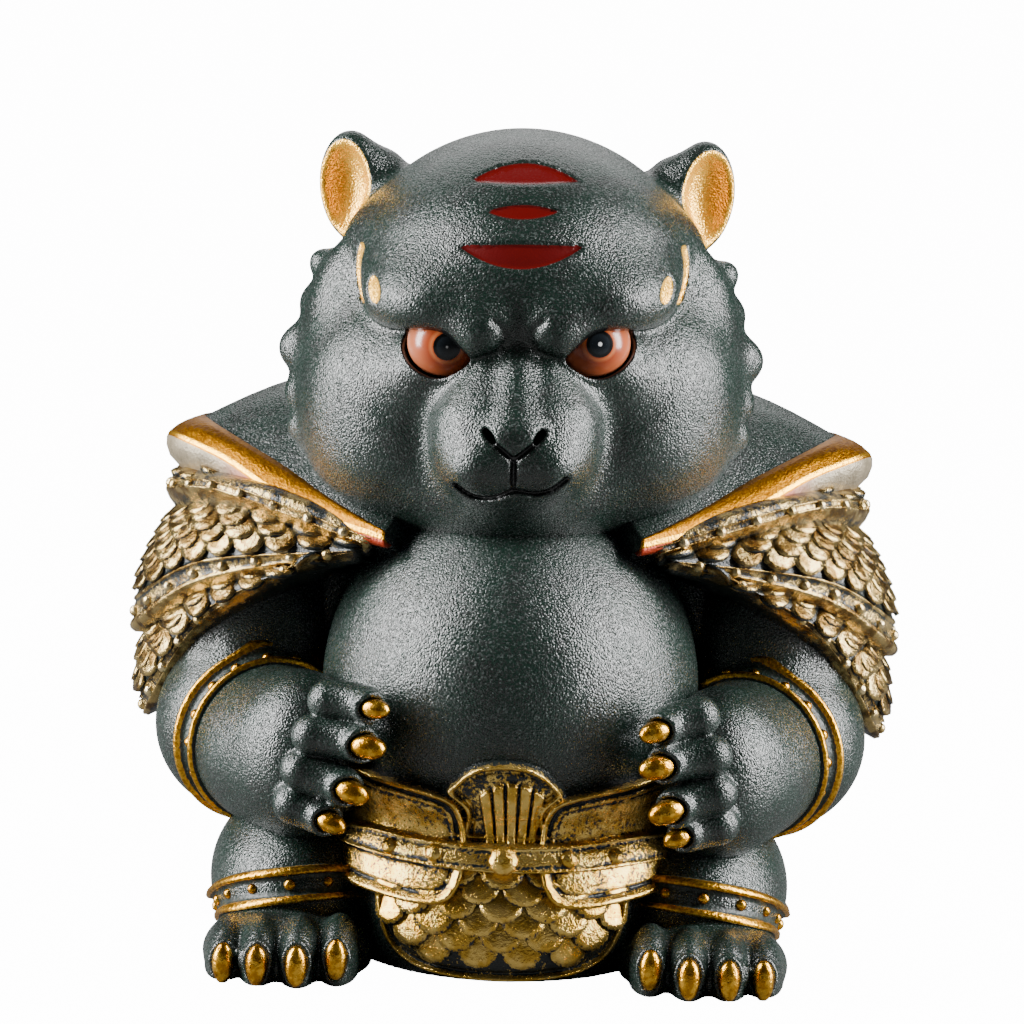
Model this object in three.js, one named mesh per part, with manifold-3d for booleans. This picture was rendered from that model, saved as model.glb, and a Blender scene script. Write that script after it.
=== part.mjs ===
// Tiger tea pet: a small seated tiger in scale armour, cast in one piece and gilded afterwards.
// Millimetres, +Z up. X runs across the figure and -Y is its front. The origin is on the table,
// below the middle of the figure. One half is described, with x above zero, and mirrored.
import * as THREE from "three";
import { mergeVertices } from "three/addons/utils/BufferGeometryUtils.js";
import Module from "manifold-3d";

const wasm = await Module();
wasm.setup();

const SIDES = [1, -1];
const TURN = 2 * Math.PI;

const vec = (x, y, z) => new THREE.Vector3(x, y, z);
const onSide = (p, side) => vec(side * p[0], p[1], p[2]);
const mix = (a, b, t) => a + (b - a) * t;
const steps = (count) => Array.from({ length: count }, (_, i) => i);

// A closed geometry as a solid. One that a mirror has turned inside out is turned back.
function solid(geometry) {
  const bare = new THREE.BufferGeometry();
  bare.setAttribute("position", geometry.getAttribute("position"));
  if (geometry.index) bare.setIndex(geometry.index);
  const merged = mergeVertices(bare, 1e-4);
  const vertProperties = new Float32Array(merged.getAttribute("position").array);
  const triVerts = new Uint32Array(merged.index.array);
  const made = () => new wasm.Manifold(new wasm.Mesh({ numProp: 3, vertProperties, triVerts }));
  const first = made();
  if (first.volume() > 0) return first;
  for (let i = 0; i < triVerts.length; i += 3) {
    [triVerts[i + 1], triVerts[i + 2]] = [triVerts[i + 2], triVerts[i + 1]];
  }
  return made();
}

// Solids joined in pairs, then pairs of pairs, and so on.
function joined(solids) {
  if (solids.length === 1) return solids[0];
  const half = Math.ceil(solids.length / 2);
  return joined(solids.slice(0, half)).add(joined(solids.slice(half)));
}

// Rounded masses, each an ellipsoid: its centre, its radii and its turn about x, y and z in
// degrees. The gap between a point and a mass is negative inside it.
const turned = (turn) => new THREE.Quaternion().setFromEuler(
  new THREE.Euler(...turn.map(THREE.MathUtils.degToRad), "ZYX"));

const massOn = (mass, side) => ({
  centre: onSide(mass.centre, side),
  radii: vec(...mass.radii),
  turn: turned([mass.turn?.[0] ?? 0, side * (mass.turn?.[1] ?? 0), side * (mass.turn?.[2] ?? 0)]),
});

function gapTo(mass, point) {
  const p = point.clone().sub(mass.centre).applyQuaternion(mass.turn.clone().invert()).divide(mass.radii);
  const far = p.length();
  return (far * (far - 1)) / Math.max(p.divide(mass.radii).length(), 1e-9);
}

// Masses melted into each other, with a soft fillet of the given width between them.
function gapToAll(masses, fillet, point) {
  return masses.map((mass) => gapTo(mass, point)).reduce((near, gap) => {
    const overlap = Math.max(fillet - Math.abs(near - gap), 0) / fillet;
    return Math.min(near, gap) - (overlap * overlap * fillet) / 4;
  });
}

// The skin over melted masses, as seen from a middle that sees all of it. Its net starts round
// the front, at -Y, and front above 1 draws the lines of the net closer together there.
function skinOver(masses, fillet, middle, { wide, high, front = 1, reach = 70 }) {
  const geometry = new THREE.SphereGeometry(1, wide, high);
  geometry.rotateX(Math.PI);
  const position = geometry.getAttribute("position");
  for (let i = 0; i < position.count; i++) {
    const [x, y, z] = [position.getX(i), position.getY(i), position.getZ(i)];
    const polar = Math.PI * (Math.acos(THREE.MathUtils.clamp(-y, -1, 1)) / Math.PI) ** front;
    const rim = Math.hypot(x, z) || 1;
    const way = vec((x / rim) * Math.sin(polar), -Math.cos(polar), (z / rim) * Math.sin(polar));
    let far = reach;
    for (let step = 0; step < 60; step++) {
      far -= gapToAll(masses, fillet, way.clone().multiplyScalar(far).add(middle)) * 0.8;
    }
    position.setXYZ(i, ...way.multiplyScalar(far).add(middle).toArray());
  }
  return solid(geometry);
}

// One mass as a solid of its own.
function ball(mass, side, { wide, high }) {
  const geometry = new THREE.SphereGeometry(1, wide, high);
  geometry.rotateX(Math.PI / 2);
  const { centre, radii, turn } = massOn(mass, side);
  const position = geometry.getAttribute("position");
  for (let i = 0; i < position.count; i++) {
    const p = vec(side * position.getX(i), position.getY(i), position.getZ(i));
    position.setXYZ(i, ...p.multiply(radii).applyQuaternion(turn).add(centre).toArray());
  }
  return solid(geometry);
}

// A pointed mass: a corner at the end of each radius.
function pointed(mass, side = 1) {
  const { centre, radii, turn } = massOn(mass, side);
  const geometry = new THREE.OctahedronGeometry(1);
  geometry.scale(...radii.toArray());
  geometry.applyQuaternion(turn);
  geometry.translate(...centre.toArray());
  return solid(geometry);
}

// An ellipsoid that reaches from one point to another, and past them by the given amount.
function barrel(from, to, radius, { wide = 5, high = 3, past = 0 } = {}) {
  const geometry = new THREE.SphereGeometry(1, wide, high);
  geometry.rotateX(Math.PI / 2);
  const along = to.clone().sub(from);
  geometry.scale(radius, radius, along.length() / 2 + past);
  geometry.applyQuaternion(new THREE.Quaternion().setFromUnitVectors(vec(0, 0, 1), along.normalize()));
  geometry.translate(...from.clone().add(to).divideScalar(2).toArray());
  return solid(geometry);
}

const bead = (centre, radius) => pointed({ centre: centre.toArray(), radii: [radius, radius, radius] });

// A skin over rings of points, each ring a closed loop with the same number of points. The ends
// are closed with fans, or joined to each other when the rings go all the way round.
function loft(rings, { round = false } = {}) {
  const count = rings[0].length;
  const faces = [];
  for (let i = 0; i < (round ? rings.length : rings.length - 1); i++) {
    const here = i * count;
    const there = ((i + 1) % rings.length) * count;
    for (let j = 0; j < count; j++) {
      const k = (j + 1) % count;
      faces.push(here + j, here + k, there + k, here + j, there + k, there + j);
    }
  }
  if (!round) {
    const last = (rings.length - 1) * count;
    for (let j = 1; j < count - 1; j++) {
      faces.push(0, j + 1, j, last, last + j, last + j + 1);
    }
  }
  const geometry = new THREE.BufferGeometry().setFromPoints(rings.flat());
  geometry.setIndex(faces);
  return solid(geometry);
}

const curveOf = (points, side = 1) => new THREE.CatmullRomCurve3(points.map((p) => onSide(p, side)));

// A round limb along a curve, with a radius for each share of its length.
function limb(curve, radiusAt, count, sides) {
  const frames = curve.computeFrenetFrames(count, false);
  return loft(steps(count + 1).map((i) => {
    const centre = curve.getPoint(i / count);
    const radius = radiusAt(i / count);
    return steps(sides).map((j) => centre.clone()
      .addScaledVector(frames.normals[i], radius * Math.cos((TURN * j) / sides))
      .addScaledVector(frames.binormals[i], radius * Math.sin((TURN * j) / sides)));
  }));
}

// The trunk: a ball of a belly over a narrower lap, with the chest, back and seat behind it.
const BELLY = { centre: [0, -17, 36], radii: [26, 28, 28] };
const LAP = { centre: [0, -17, 9], radii: [20.5, 27, 24] };
const CHEST = { centre: [0, 6, 44], radii: [37, 23, 25] };
const SEAT = { centre: [0, 9, 15], radii: [35, 25, 26] };
const TRUNK_FILLET = 2;

const trunk = () => skinOver([BELLY, LAP, CHEST, SEAT].map((mass) => massOn(mass, 1)),
  TRUNK_FILLET, vec(0, -6, 30), { wide: 22, high: 15 });

// The tail comes out low on the back and curls up against it.
const TAIL = [[4, 30, 3.5], [15, 31.5, 4.5], [24, 28.5, 11], [22.5, 30, 21], [14, 32, 26], [8, 31.5, 33]];
const TAIL_RADIUS = 3.8;

const tail = () => limb(curveOf(TAIL), (t) => TAIL_RADIUS * mix(1, 0.8, t), 9, 5);

// The head: a round skull and a low forehead over wide cheeks, with brows that frown down to the
// bridge of a short muzzle.
const SKULL = { centre: [0, -6, 86.3], radii: [26, 26, 26] };
const FOREHEAD = { centre: [0, -14, 92], radii: [24.5, 24, 18.5] };
const RUFF = { centre: [0, -5, 80], radii: [29.5, 17, 25] };
const CHIN = { centre: [0, -19, 65.5], radii: [17, 16.5, 10.5] };
const MUZZLE = { centre: [0, -33.2, 72.2], radii: [11.3, 12.6, 9.6] };
const BRIDGE = { centre: [0, -36.5, 82], radii: [5.4, 5.4, 10], turn: [-24, 0, 0] };
const CHEEK = { centre: [14, -13.5, 71.5], radii: [17.2, 18.5, 15.2] };
const BROW = { centre: [13, -28, 90.3], radii: [12.5, 9, 4.6], turn: [0, -25, -22] };
const FROWN = { centre: [4, -36, 86.5], radii: [4, 4, 4.4] };
const HEAD_FILLET = 4;
const EYE = { centre: [10.8, -32.6, 85.2], radii: [5.4, 5, 5] };
const NOSE = { centre: [0, -43.4, 74.8], radii: [4, 2.8, 2.8] };

function skull() {
  const masses = [SKULL, FOREHEAD, RUFF, CHIN, MUZZLE, BRIDGE].map((mass) => massOn(mass, 1));
  const pairs = SIDES.flatMap((side) => [CHEEK, BROW, FROWN].map((mass) => massOn(mass, side)));
  return skinOver([...masses, ...pairs], HEAD_FILLET, vec(0, -12, 80),
    { wide: 28, high: 16, front: 1.3 });
}

// Five pointed tufts of fur stand out from each cheek, one above the other.
const TUFTS = [
  { tip: [29.8, -4, 93.3], size: 4.2 },
  { tip: [30.3, -6, 88.6], size: 3.8 },
  { tip: [33.4, -8, 83.3], size: 5 },
  { tip: [32.4, -10, 77.1], size: 4.4 },
  { tip: [31.7, -12, 72.3], size: 4 },
];
const TUFT = { reach: 8, droop: 2, slant: [0, -16, 0] };

const tufts = (side) => TUFTS.map(({ tip, size }) => pointed({
  centre: [tip[0] - TUFT.reach, tip[1] + 1.5, tip[2] - TUFT.droop],
  radii: [TUFT.reach, size + 3, size],
  turn: TUFT.slant,
}, side));

// The ears are cups that look outwards and forwards.
const EAR = { centre: [24.4, 0.5, 103], radii: [5.4, 4.6, 7.8], turn: [0, 8, 35] };
const EAR_ROOT = { centre: [20, 1, 102], radii: [5, 5.5, 6.5] };
const EAR_HOLLOW = { centre: [26.4, -2.6, 103.2], radii: [3.8, 4, 6.3], turn: [0, 8, 35] };

function ear(side) {
  return ball(EAR, side, { wide: 8, high: 6 })
    .add(ball(EAR_ROOT, side, { wide: 5, high: 4 }))
    .subtract(ball(EAR_HOLLOW, side, { wide: 6, high: 4 }));
}

// The mouth, the parting of the lips and the nostrils are cut lines.
const CUT_RADIUS = 0.7;
const MOUTH_LINE = [[7.4, -41.6, 69.4], [5.2, -43.8, 67.3], [2.3, -45.3, 66.6], [0, -45.6, 68]];
const LIP_LINE = [[0, -45.6, 67.8], [0, -46.2, 72.4]];
const NOSTRIL_LINE = [[0, -46.2, 72.4], [2.2, -46.1, 74], [4.1, -44.9, 76]];

function faceLines() {
  const cut = (line, side, count) => limb(curveOf(line, side), () => CUT_RADIUS, count, 4);
  const pairs = SIDES.flatMap((side) => [cut(MOUTH_LINE, side, 5), cut(NOSTRIL_LINE, side, 3)]);
  return joined([cut(LIP_LINE, 1, 1), ...pairs]);
}

// The arms hang from the shoulders and bend forwards, so that the paws meet the belly. Four
// fingers lie one above the other on each paw, with a claw at the end of each.
const UPPER_ARM = { centre: [36, -1, 42], radii: [13, 14, 18] };
const ELBOW = { centre: [36.6, -8, 28], radii: [13.2, 13.5, 13] };
const FOREARM = { centre: [33, -19, 27.6], radii: [11.6, 12, 12.2] };
const PALM = { centre: [28, -31, 28.2], radii: [8.8, 9.4, 12] };
const ARM_FILLET = 3;
const KNUCKLES = [[26, -38.6, 37.6], [28, -39.2, 33], [29, -39, 28], [29.6, -37, 23]];
const FINGERTIPS = [[18.6, -42, 37], [18.8, -43.4, 32.2], [20.2, -43, 26], [22.3, -41, 21.4]];
const FINGER_RADIUS = 2.9;
const FINGER_CLAW = { length: 5, radius: 1.9, proud: 1.9 };

function arm(side) {
  const masses = [UPPER_ARM, ELBOW, FOREARM, PALM].map((mass) => massOn(mass, side));
  const fingers = steps(KNUCKLES.length).flatMap((i) => {
    const knuckle = onSide(KNUCKLES[i], side);
    const tip = onSide(FINGERTIPS[i], side);
    const reach = tip.clone().sub(knuckle).normalize().multiplyScalar(FINGER_CLAW.length / 2);
    const nail = tip.clone().add(vec(0, -FINGER_CLAW.proud, 0));
    return [
      barrel(knuckle, tip, FINGER_RADIUS, { wide: 6, high: 4, past: 1.6 }),
      barrel(nail.clone().sub(reach), nail.clone().add(reach), FINGER_CLAW.radius, { wide: 4, high: 2 }),
    ];
  });
  return [skinOver(masses, ARM_FILLET, onSide([35, -12, 31], side), { wide: 12, high: 8 }), ...fingers];
}

// The legs are short and the feet stick out in front, with four toes and a claw on each.
const LEG = { centre: [28, -17, 9], radii: [12.4, 19, 12.2] };
const FOOT = { centre: [28.4, -33, 2.4], radii: [12, 11.5, 7] };
const LEG_FILLET = 2;
const TOES = [[20.8, -46, 4.6], [26.2, -47.4, 4.6], [31.7, -46.4, 4.2], [36.6, -42.6, 3.4]];
const TOE_RADII = [3, 7.5, 4.5];
const TOE_CLAW = { radii: [2, 1.8, 3.6], height: 3.3 };

function leg(side) {
  const masses = [LEG, FOOT].map((mass) => massOn(mass, side));
  const toes = TOES.flatMap(([x, y, z]) => [
    ball({ centre: [x, y + TOE_RADII[1], z], radii: TOE_RADII }, side, { wide: 6, high: 4 }),
    pointed({ centre: [x, y + 0.3, TOE_CLAW.height], radii: TOE_CLAW.radii }, side),
  ]);
  return [skinOver(masses, LEG_FILLET, onSide([28.5, -21, 6], side), { wide: 10, high: 8 }), ...toes];
}

// Cuffs go round the forearms and the ankles: a band with a raised edge at each side and a row
// of beads in the channel between them.
const CUFF = { edge: 1.1, rim: 1.4, channel: 0.3, sunk: 1.2, bead: 1.1, beads: 8 };
const BRACELET = { centre: [34.2, -15.5, 27.6], axis: [-0.42, -0.9, -0.1], width: 5, round: 12.3 };
const ANKLET = { centre: [28.5, -18, 12.2], axis: [0.47, 0, 0.88], width: 5 };

// A point of a cuff: turn goes round it and shift across it, at a height above the skin.
function cuffPoint(band, turn, shift, proud, side) {
  const axis = vec(...band.axis).normalize();
  const across = vec(0, 0, 1).cross(axis).normalize();
  const over = axis.clone().cross(across);
  const way = across.multiplyScalar(Math.cos(turn)).addScaledVector(over, Math.sin(turn));
  const middle = vec(...band.centre).addScaledVector(axis, shift);
  const far = band.round ?? farToLeg(middle, way);
  return onSide(middle.addScaledVector(way, far + proud).toArray(), side);
}

function farToLeg(from, way) {
  const leg = massOn(LEG, 1);
  let far = 40;
  for (let step = 0; step < 60; step++) {
    far -= gapTo(leg, from.clone().addScaledVector(way, far)) * 0.8;
  }
  return far;
}

function cuff(band, side) {
  const half = band.width / 2;
  const rings = steps(CUFF.beads * 2).map((i) => {
    const middle = i % 2 ? CUFF.bead : CUFF.channel;
    const profile = [[-half, -CUFF.sunk], [-half, CUFF.edge], [-half + CUFF.rim, CUFF.channel],
      [0, middle], [half - CUFF.rim, CUFF.channel], [half, CUFF.edge], [half, -CUFF.sunk]];
    const turn = (TURN * i) / (CUFF.beads * 2);
    return profile.map(([shift, proud]) => cuffPoint(band, turn, shift, proud, side));
  });
  return loft(rings, { round: true });
}

// The mantle lies on the shoulders like a wide collar, open in front and with a point at each
// side. Four lines run round its right half from front to back: where it meets the neck, the
// top and the ridge of its gilded edge, and its hem.
const MANTLE_LINES = [
  [[13, -20, 61], [17, -15, 67], [20, -9, 71.5], [22, -3, 74.5], [23, 4, 76.3], [22.5, 10, 77],
    [18, 17, 77], [10, 21, 76], [0, 22.5, 75.5]],
  [[17.4, -29.6, 58.8], [25.3, -23, 62], [32.1, -16, 65.4], [38.1, -10, 68.1], [44.2, -2.5, 70.6],
    [44.6, 4.5, 70.4], [37.5, 17.5, 68], [21, 28.5, 64.5], [0, 32.6, 62.6]],
  [[17.4, -30.4, 58.2], [25.2, -25.2, 59.7], [33.3, -19, 62.4], [41, -11.5, 66.6], [49.4, -4, 69.9],
    [49.6, 4.5, 69.3], [41, 19.5, 66], [23, 31, 62.2], [0, 35.4, 60.2]],
  [[16.4, -28.5, 57], [23.6, -23.5, 57.4], [31, -17.2, 58.2], [38, -9.5, 59.2], [45.6, -3, 61.4],
    [46, 4, 61.2], [38.5, 18, 58.4], [22, 29, 54.5], [0, 33.4, 52.6]],
];
const MANTLE_STEPS = 10;
const MANTLE_ROOT = 48;

function mantle() {
  const ring = (t, side) => {
    const line = MANTLE_LINES.map((points) => curveOf(points, side).getPoint(t));
    const root = vec(line[0].x * 0.8, line[0].y * 0.8, MANTLE_ROOT);
    return [root, ...line];
  };
  const right = steps(MANTLE_STEPS).map((i) => ring(i / MANTLE_STEPS, 1));
  const left = steps(MANTLE_STEPS + 1).map((i) => ring(1 - i / MANTLE_STEPS, -1));
  return loft([...right, ...left]);
}

// Three lames of scale armour lie over each shoulder, fanned out from the chest and the back.
// A rim line runs round each, below the line of the one above, and their scales point outwards.
const LAME_LINES = [
  [[17, -27, 60], [33, -20, 65], [44, 0, 66], [33, 20, 64], [17, 27, 60]],
  [[20, -29, 57], [41, -16, 61.5], [49.4, 0, 59], [41, 17, 60], [20, 28, 57]],
  [[22, -28.4, 55.8], [43, -16, 48.8], [54, 0, 39.2], [43, 18, 47], [22, 28, 54]],
  [[29, -25, 54], [43.4, -14.5, 42.6], [51.8, 0, 27], [44, 16, 41], [30, 25.5, 51]],
];
const LAME_ROOT = [[18, -12, 52], [34, 0, 46], [18, 14, 52]];
const LAMES = [
  { line: 1, rows: 1, scales: 5 },
  { line: 2, rows: 3, scales: 6 },
  { line: 3, rows: 1, scales: 5 },
];
const LAME = { tuck: 0.88, lip: 2.4, swell: 1.6, relief: 1.1, band: 0.24, bead: 0.9 };

// A point of a lame: along runs 0 to 1 from chest to back, and down 0 to 1 from top to rim.
function lamePoint({ line }, along, down, proud, side) {
  const root = curveOf(LAME_ROOT, side).getPoint(along);
  const top = curveOf(LAME_LINES[line - 1], side).getPoint(along).sub(root)
    .multiplyScalar(LAME.tuck).add(root);
  const p = top.lerp(curveOf(LAME_LINES[line], side).getPoint(along), down);
  const out = p.clone().sub(root).normalize();
  return p.addScaledVector(out, LAME.swell * Math.sin(Math.PI * down) + proud);
}

// Each scale rises from its root to its free tip, at the side away from the chest or the back.
function scaleRelief(along, row, scales) {
  const outwards = 1 - Math.abs(along - 0.5) * 2;
  const place = outwards * (scales / 2) + (row % 2) * 0.5;
  const tooth = place - Math.floor(place);
  return LAME.relief * tooth * Math.min(1, outwards * 4);
}

function lame(part, side) {
  const count = part.scales * 2;
  const rowHeight = (1 - LAME.band) / part.rows;
  const rings = steps(count + 1).map((i) => {
    const along = i / count;
    const root = curveOf(LAME_ROOT, side).getPoint(along);
    const rows = steps(part.rows).flatMap((row) => [
      lamePoint(part, along, row * rowHeight, 0, side),
      lamePoint(part, along, (row + 0.5) * rowHeight, scaleRelief(along + 0.01, row, part.scales), side),
    ]);
    const beadAt = lamePoint(part, along, 1 - LAME.band / 2, i % 2 ? LAME.bead : 0, side);
    const rim = lamePoint(part, along, 1, 0, side);
    const lip = rim.clone().lerp(root, LAME.lip / rim.distanceTo(root));
    lip.z -= LAME.lip / 2;
    return [root, ...rows, lamePoint(part, along, 1 - LAME.band, 0, side), beadAt, rim, lip];
  });
  return loft(rings);
}

// The armour on the belly: plates of an even thickness that follow the front of the trunk, cut
// to outlines seen from the front, as [x, z]. Half outlines run from top to bottom.
const PLATE = { front: -60, back: -30 };
const BELLY_NET = { wide: 14, high: 12 };
const APRON = { half: [[17, 20], [17.4, 14.4], [16, 8.1], [12.4, 2.8], [6, 0.3]], proud: 1.4 };
const APRON_SCALES = { counts: [3, 4, 3], top: 14.5, pitch: 3.4, width: 6.6, thickness: 1, lift: 0.8 };
const BELT = { upper: [[23.6, 21.4], [12, 19.6], [0, 19.4]], lower: [[0, 15.8], [12, 16], [23.6, 18.2]],
  proud: 3 };
const STUDS = [{ x: 0, z: 17.5, size: 1.8 }, { x: 9, z: 17.7, size: 1.3 }, { x: 15.6, z: 18.4, size: 1.3 }];
const UPPER_LAPPET = { outline: [[4.6, 20], [5.4, 25.4], [12, 27], [19, 25.2], [19, 19.6]], proud: 2 };
const LOWER_LAPPET = { outline: [[24, 18], [24.2, 13.8], [12, 11], [6, 12.6], [7, 16.6]], proud: 2.2 };
const FAN = { half: [[2.5, 30.7], [5.6, 30], [7.4, 28.6], [4.8, 19]], proud: 1.8, ribs: 5, rib: 0.9 };

const whole = (half) => [...half, ...half.slice().reverse().map(([x, z]) => [-x, z])];

function grownBelly(proud) {
  const masses = [BELLY, LAP].map(({ centre, radii }) =>
    massOn({ centre, radii: radii.map((r) => r + proud) }, 1));
  return skinOver(masses, TRUNK_FILLET, vec(0, -12, 28), BELLY_NET);
}

function plate(outline, proud) {
  const shape = new THREE.Shape(outline.map(([x, z]) => new THREE.Vector2(x, z)));
  const depth = PLATE.back - PLATE.front;
  const geometry = new THREE.ExtrudeGeometry(shape, { depth, bevelEnabled: false });
  const upright = new THREE.Matrix4().set(1, 0, 0, 0, 0, 0, 1, PLATE.front, 0, 1, 0, 0, 0, 0, 0, 1);
  geometry.applyMatrix4(upright);
  return solid(geometry).intersect(grownBelly(proud));
}

// The point of the belly behind x and z as seen from the front.
function bellyPoint(x, z, proud) {
  const masses = [BELLY, LAP].map((mass) => massOn(mass, 1));
  let y = PLATE.front;
  for (let step = 0; step < 60; step++) {
    y += (gapToAll(masses, TRUNK_FILLET, vec(x, y, z)) - proud) * 0.8;
  }
  return vec(x, y, z);
}

// A scale is a thin plate with a pointed free end that stands a little off the field.
function scale(x, z) {
  const { pitch, width, thickness, lift } = APRON_SCALES;
  const at = (across, down, proud) => bellyPoint(x + across * width, z - down * pitch, APRON.proud + proud);
  const face = [at(-0.46, -0.2, lift / 2), at(0.46, -0.2, lift / 2), at(0, 0.84, lift)];
  return loft([face, face.map((p) => p.clone().add(vec(0, thickness + lift, 0)))]);
}

function apron() {
  const scales = APRON_SCALES.counts.flatMap((count, row) => steps(count).map((i) =>
    scale((i - (count - 1) / 2) * APRON_SCALES.width, APRON_SCALES.top - row * APRON_SCALES.pitch)));
  return [plate(whole(APRON.half), APRON.proud), ...scales];
}

function armour() {
  const ribs = steps(FAN.ribs).map((i) => {
    const share = (i + 0.5) / FAN.ribs - 0.5;
    const foot = bellyPoint(9 * share, 19.5, FAN.proud);
    const crown = bellyPoint(13 * share, 28.6 - 3 * share * share, FAN.proud);
    return barrel(foot, crown, FAN.rib, { wide: 4, high: 2 });
  });
  const studs = STUDS.flatMap(({ x, z, size }) => (x > 0 ? [x, -x] : [x]).map((across) =>
    bead(bellyPoint(across, z, BELT.proud), size)));
  const lappets = SIDES.flatMap((side) => [UPPER_LAPPET, LOWER_LAPPET].map(({ outline, proud }) =>
    plate(outline.map(([x, z]) => [side * x, z]), proud)));
  const left = (half) => half.slice().reverse().map(([x, z]) => [-x, z]);
  const belt = plate([...BELT.upper, ...left(BELT.upper).slice(1), ...left(BELT.lower),
    ...BELT.lower.slice(1)], BELT.proud);
  return [...apron(), plate(whole(FAN.half), FAN.proud), belt, ...lappets, ...ribs, ...studs];
}

// Everything is one casting, with a flat underside.
function underside() {
  const depth = 20;
  const block = new THREE.BoxGeometry(200, 200, depth);
  block.translate(0, 0, -depth / 2);
  return solid(block);
}

function figure() {
  const halves = SIDES.flatMap((side) => [
    ...tufts(side),
    ear(side),
    ball(EYE, side, { wide: 7, high: 5 }),
    ...arm(side),
    ...leg(side),
    cuff(BRACELET, side),
    cuff(ANKLET, side),
    ...LAMES.map((part) => lame(part, side)),
  ]);
  const nose = ball(NOSE, 1, { wide: 6, high: 4 });
  const cast = joined([trunk(), skull(), nose, tail(), mantle(), ...armour(), ...halves])
    .subtract(faceLines())
    .subtract(underside());
  return cast.decompose().sort((a, b) => b.volume() - a.volume())[0];
}

function toMesh(name, body, material) {
  const { numProp, vertProperties, triVerts } = body.getMesh();
  const count = vertProperties.length / numProp;
  const points = new Float32Array(count * 3);
  for (let i = 0; i < count; i++) {
    points.set(vertProperties.subarray(i * numProp, i * numProp + 3), i * 3);
  }
  const geometry = new THREE.BufferGeometry();
  geometry.setAttribute("position", new THREE.BufferAttribute(points, 3));
  geometry.setIndex(new THREE.BufferAttribute(triVerts, 1));
  geometry.computeVertexNormals();
  const mesh = new THREE.Mesh(geometry, material);
  mesh.name = name;
  return mesh;
}

const clay = new THREE.MeshStandardMaterial({ color: 0x2c3733, roughness: 0.5, metalness: 0.2 });
const group = new THREE.Group();
group.add(toMesh("tiger_figure", figure(), clay));
export default group;
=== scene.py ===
import math

import bpy
import numpy as np
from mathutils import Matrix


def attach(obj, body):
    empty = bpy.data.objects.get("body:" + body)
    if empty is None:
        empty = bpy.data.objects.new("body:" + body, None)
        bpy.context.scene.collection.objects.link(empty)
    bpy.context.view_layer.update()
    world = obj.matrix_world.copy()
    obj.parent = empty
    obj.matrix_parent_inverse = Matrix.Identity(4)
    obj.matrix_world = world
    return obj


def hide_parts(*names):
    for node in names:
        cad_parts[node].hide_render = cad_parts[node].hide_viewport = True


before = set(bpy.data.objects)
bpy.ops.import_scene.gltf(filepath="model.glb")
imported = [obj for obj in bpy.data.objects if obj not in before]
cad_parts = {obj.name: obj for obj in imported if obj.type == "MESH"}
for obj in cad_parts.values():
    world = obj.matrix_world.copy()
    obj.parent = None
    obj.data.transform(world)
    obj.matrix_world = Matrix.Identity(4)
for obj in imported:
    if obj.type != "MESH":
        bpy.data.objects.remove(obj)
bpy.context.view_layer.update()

import openvdb
from mathutils import Matrix, Vector

# The camera looks at the figure from the front and a little above, as for a shop picture: a long
# lens, and the camera itself turned a touch, so that the figure leans to the right.
MM = 0.001
VIEW_SIDE = math.radians(0.9)
VIEW_UP = math.radians(9.0)
VIEW_ROLL = math.radians(1.7)
VIEW_FROM = 750 * MM
VIEW_AT = Vector((-0.748, 0.0, 57.666)) * MM
VIEW_LENS = 187.0
VIEW_SENSOR = 36.0

back = Vector((math.sin(VIEW_SIDE) * math.cos(VIEW_UP), -math.cos(VIEW_SIDE) * math.cos(VIEW_UP),
               math.sin(VIEW_UP)))
level = Vector((math.cos(VIEW_SIDE), math.sin(VIEW_SIDE), 0.0))
upright = back.cross(level)
right = level * math.cos(VIEW_ROLL) + upright * math.sin(VIEW_ROLL)
above = upright * math.cos(VIEW_ROLL) - level * math.sin(VIEW_ROLL)
lens = bpy.data.cameras.new("camera")
lens.lens = VIEW_LENS
lens.sensor_width = VIEW_SENSOR
lens.clip_start = 0.01
camera = bpy.data.objects.new("camera", lens)
camera.matrix_world = Matrix.Translation(VIEW_AT + back * VIEW_FROM) @ Matrix(
    (right, above, back)).transposed().to_4x4()
bpy.context.scene.collection.objects.link(camera)
bpy.context.scene.camera = camera


# The studio: a wide sheet of white paper, lit to white itself, a tall soft box at each side, a
# small one behind and above, and little other light, so that the clay stays dark between the boxes.
PAPER_COLOUR = (0.12, 0.12, 0.12, 1.0)
PAPER_SIZE = 6000.0
PAPER_DROP = -0.05
PAPER_GLOW = 120.0
SKY_COLOUR = (1.0, 1.0, 1.0, 1.0)
SKY_STRENGTH = 0.05
SOFT_BOXES = [
    # name, place in metres, width, height, watts
    ("box_left", (-0.44, -0.06, 0.20), 0.14, 0.55, 10.0),
    ("box_right", (0.44, -0.06, 0.20), 0.14, 0.55, 9.5),
    ("box_top", (0.0, 0.40, 0.30), 0.34, 0.22, 0.5),
]
LIT_POINT = Vector((0.0, -0.01, 0.06))


def place_light(name, place, width, height, watts):
    lamp = bpy.data.lights.new(name, "AREA")
    lamp.shape = "RECTANGLE"
    lamp.size = width
    lamp.size_y = height
    lamp.energy = watts
    holder = bpy.data.objects.new(name, lamp)
    holder.location = place
    holder.rotation_euler = (Vector(place) - LIT_POINT).to_track_quat("Z", "Y").to_euler()
    bpy.context.scene.collection.objects.link(holder)


def new_object(name, points, faces, smooth=True):
    """A mesh object from points in millimetres."""
    mesh = bpy.data.meshes.new(name)
    faces = faces.tolist() if isinstance(faces, np.ndarray) else faces
    mesh.from_pydata((np.asarray(points, float) * MM).tolist(), [], faces)
    mesh.polygons.foreach_set("use_smooth", np.full(len(mesh.polygons), smooth))
    mesh.update()
    piece = bpy.data.objects.new(name, mesh)
    bpy.context.scene.collection.objects.link(piece)
    return piece


def new_material(name):
    material = bpy.data.materials.new(name)
    material.use_nodes = True
    return material, material.node_tree, material.node_tree.nodes["Principled BSDF"]


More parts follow.
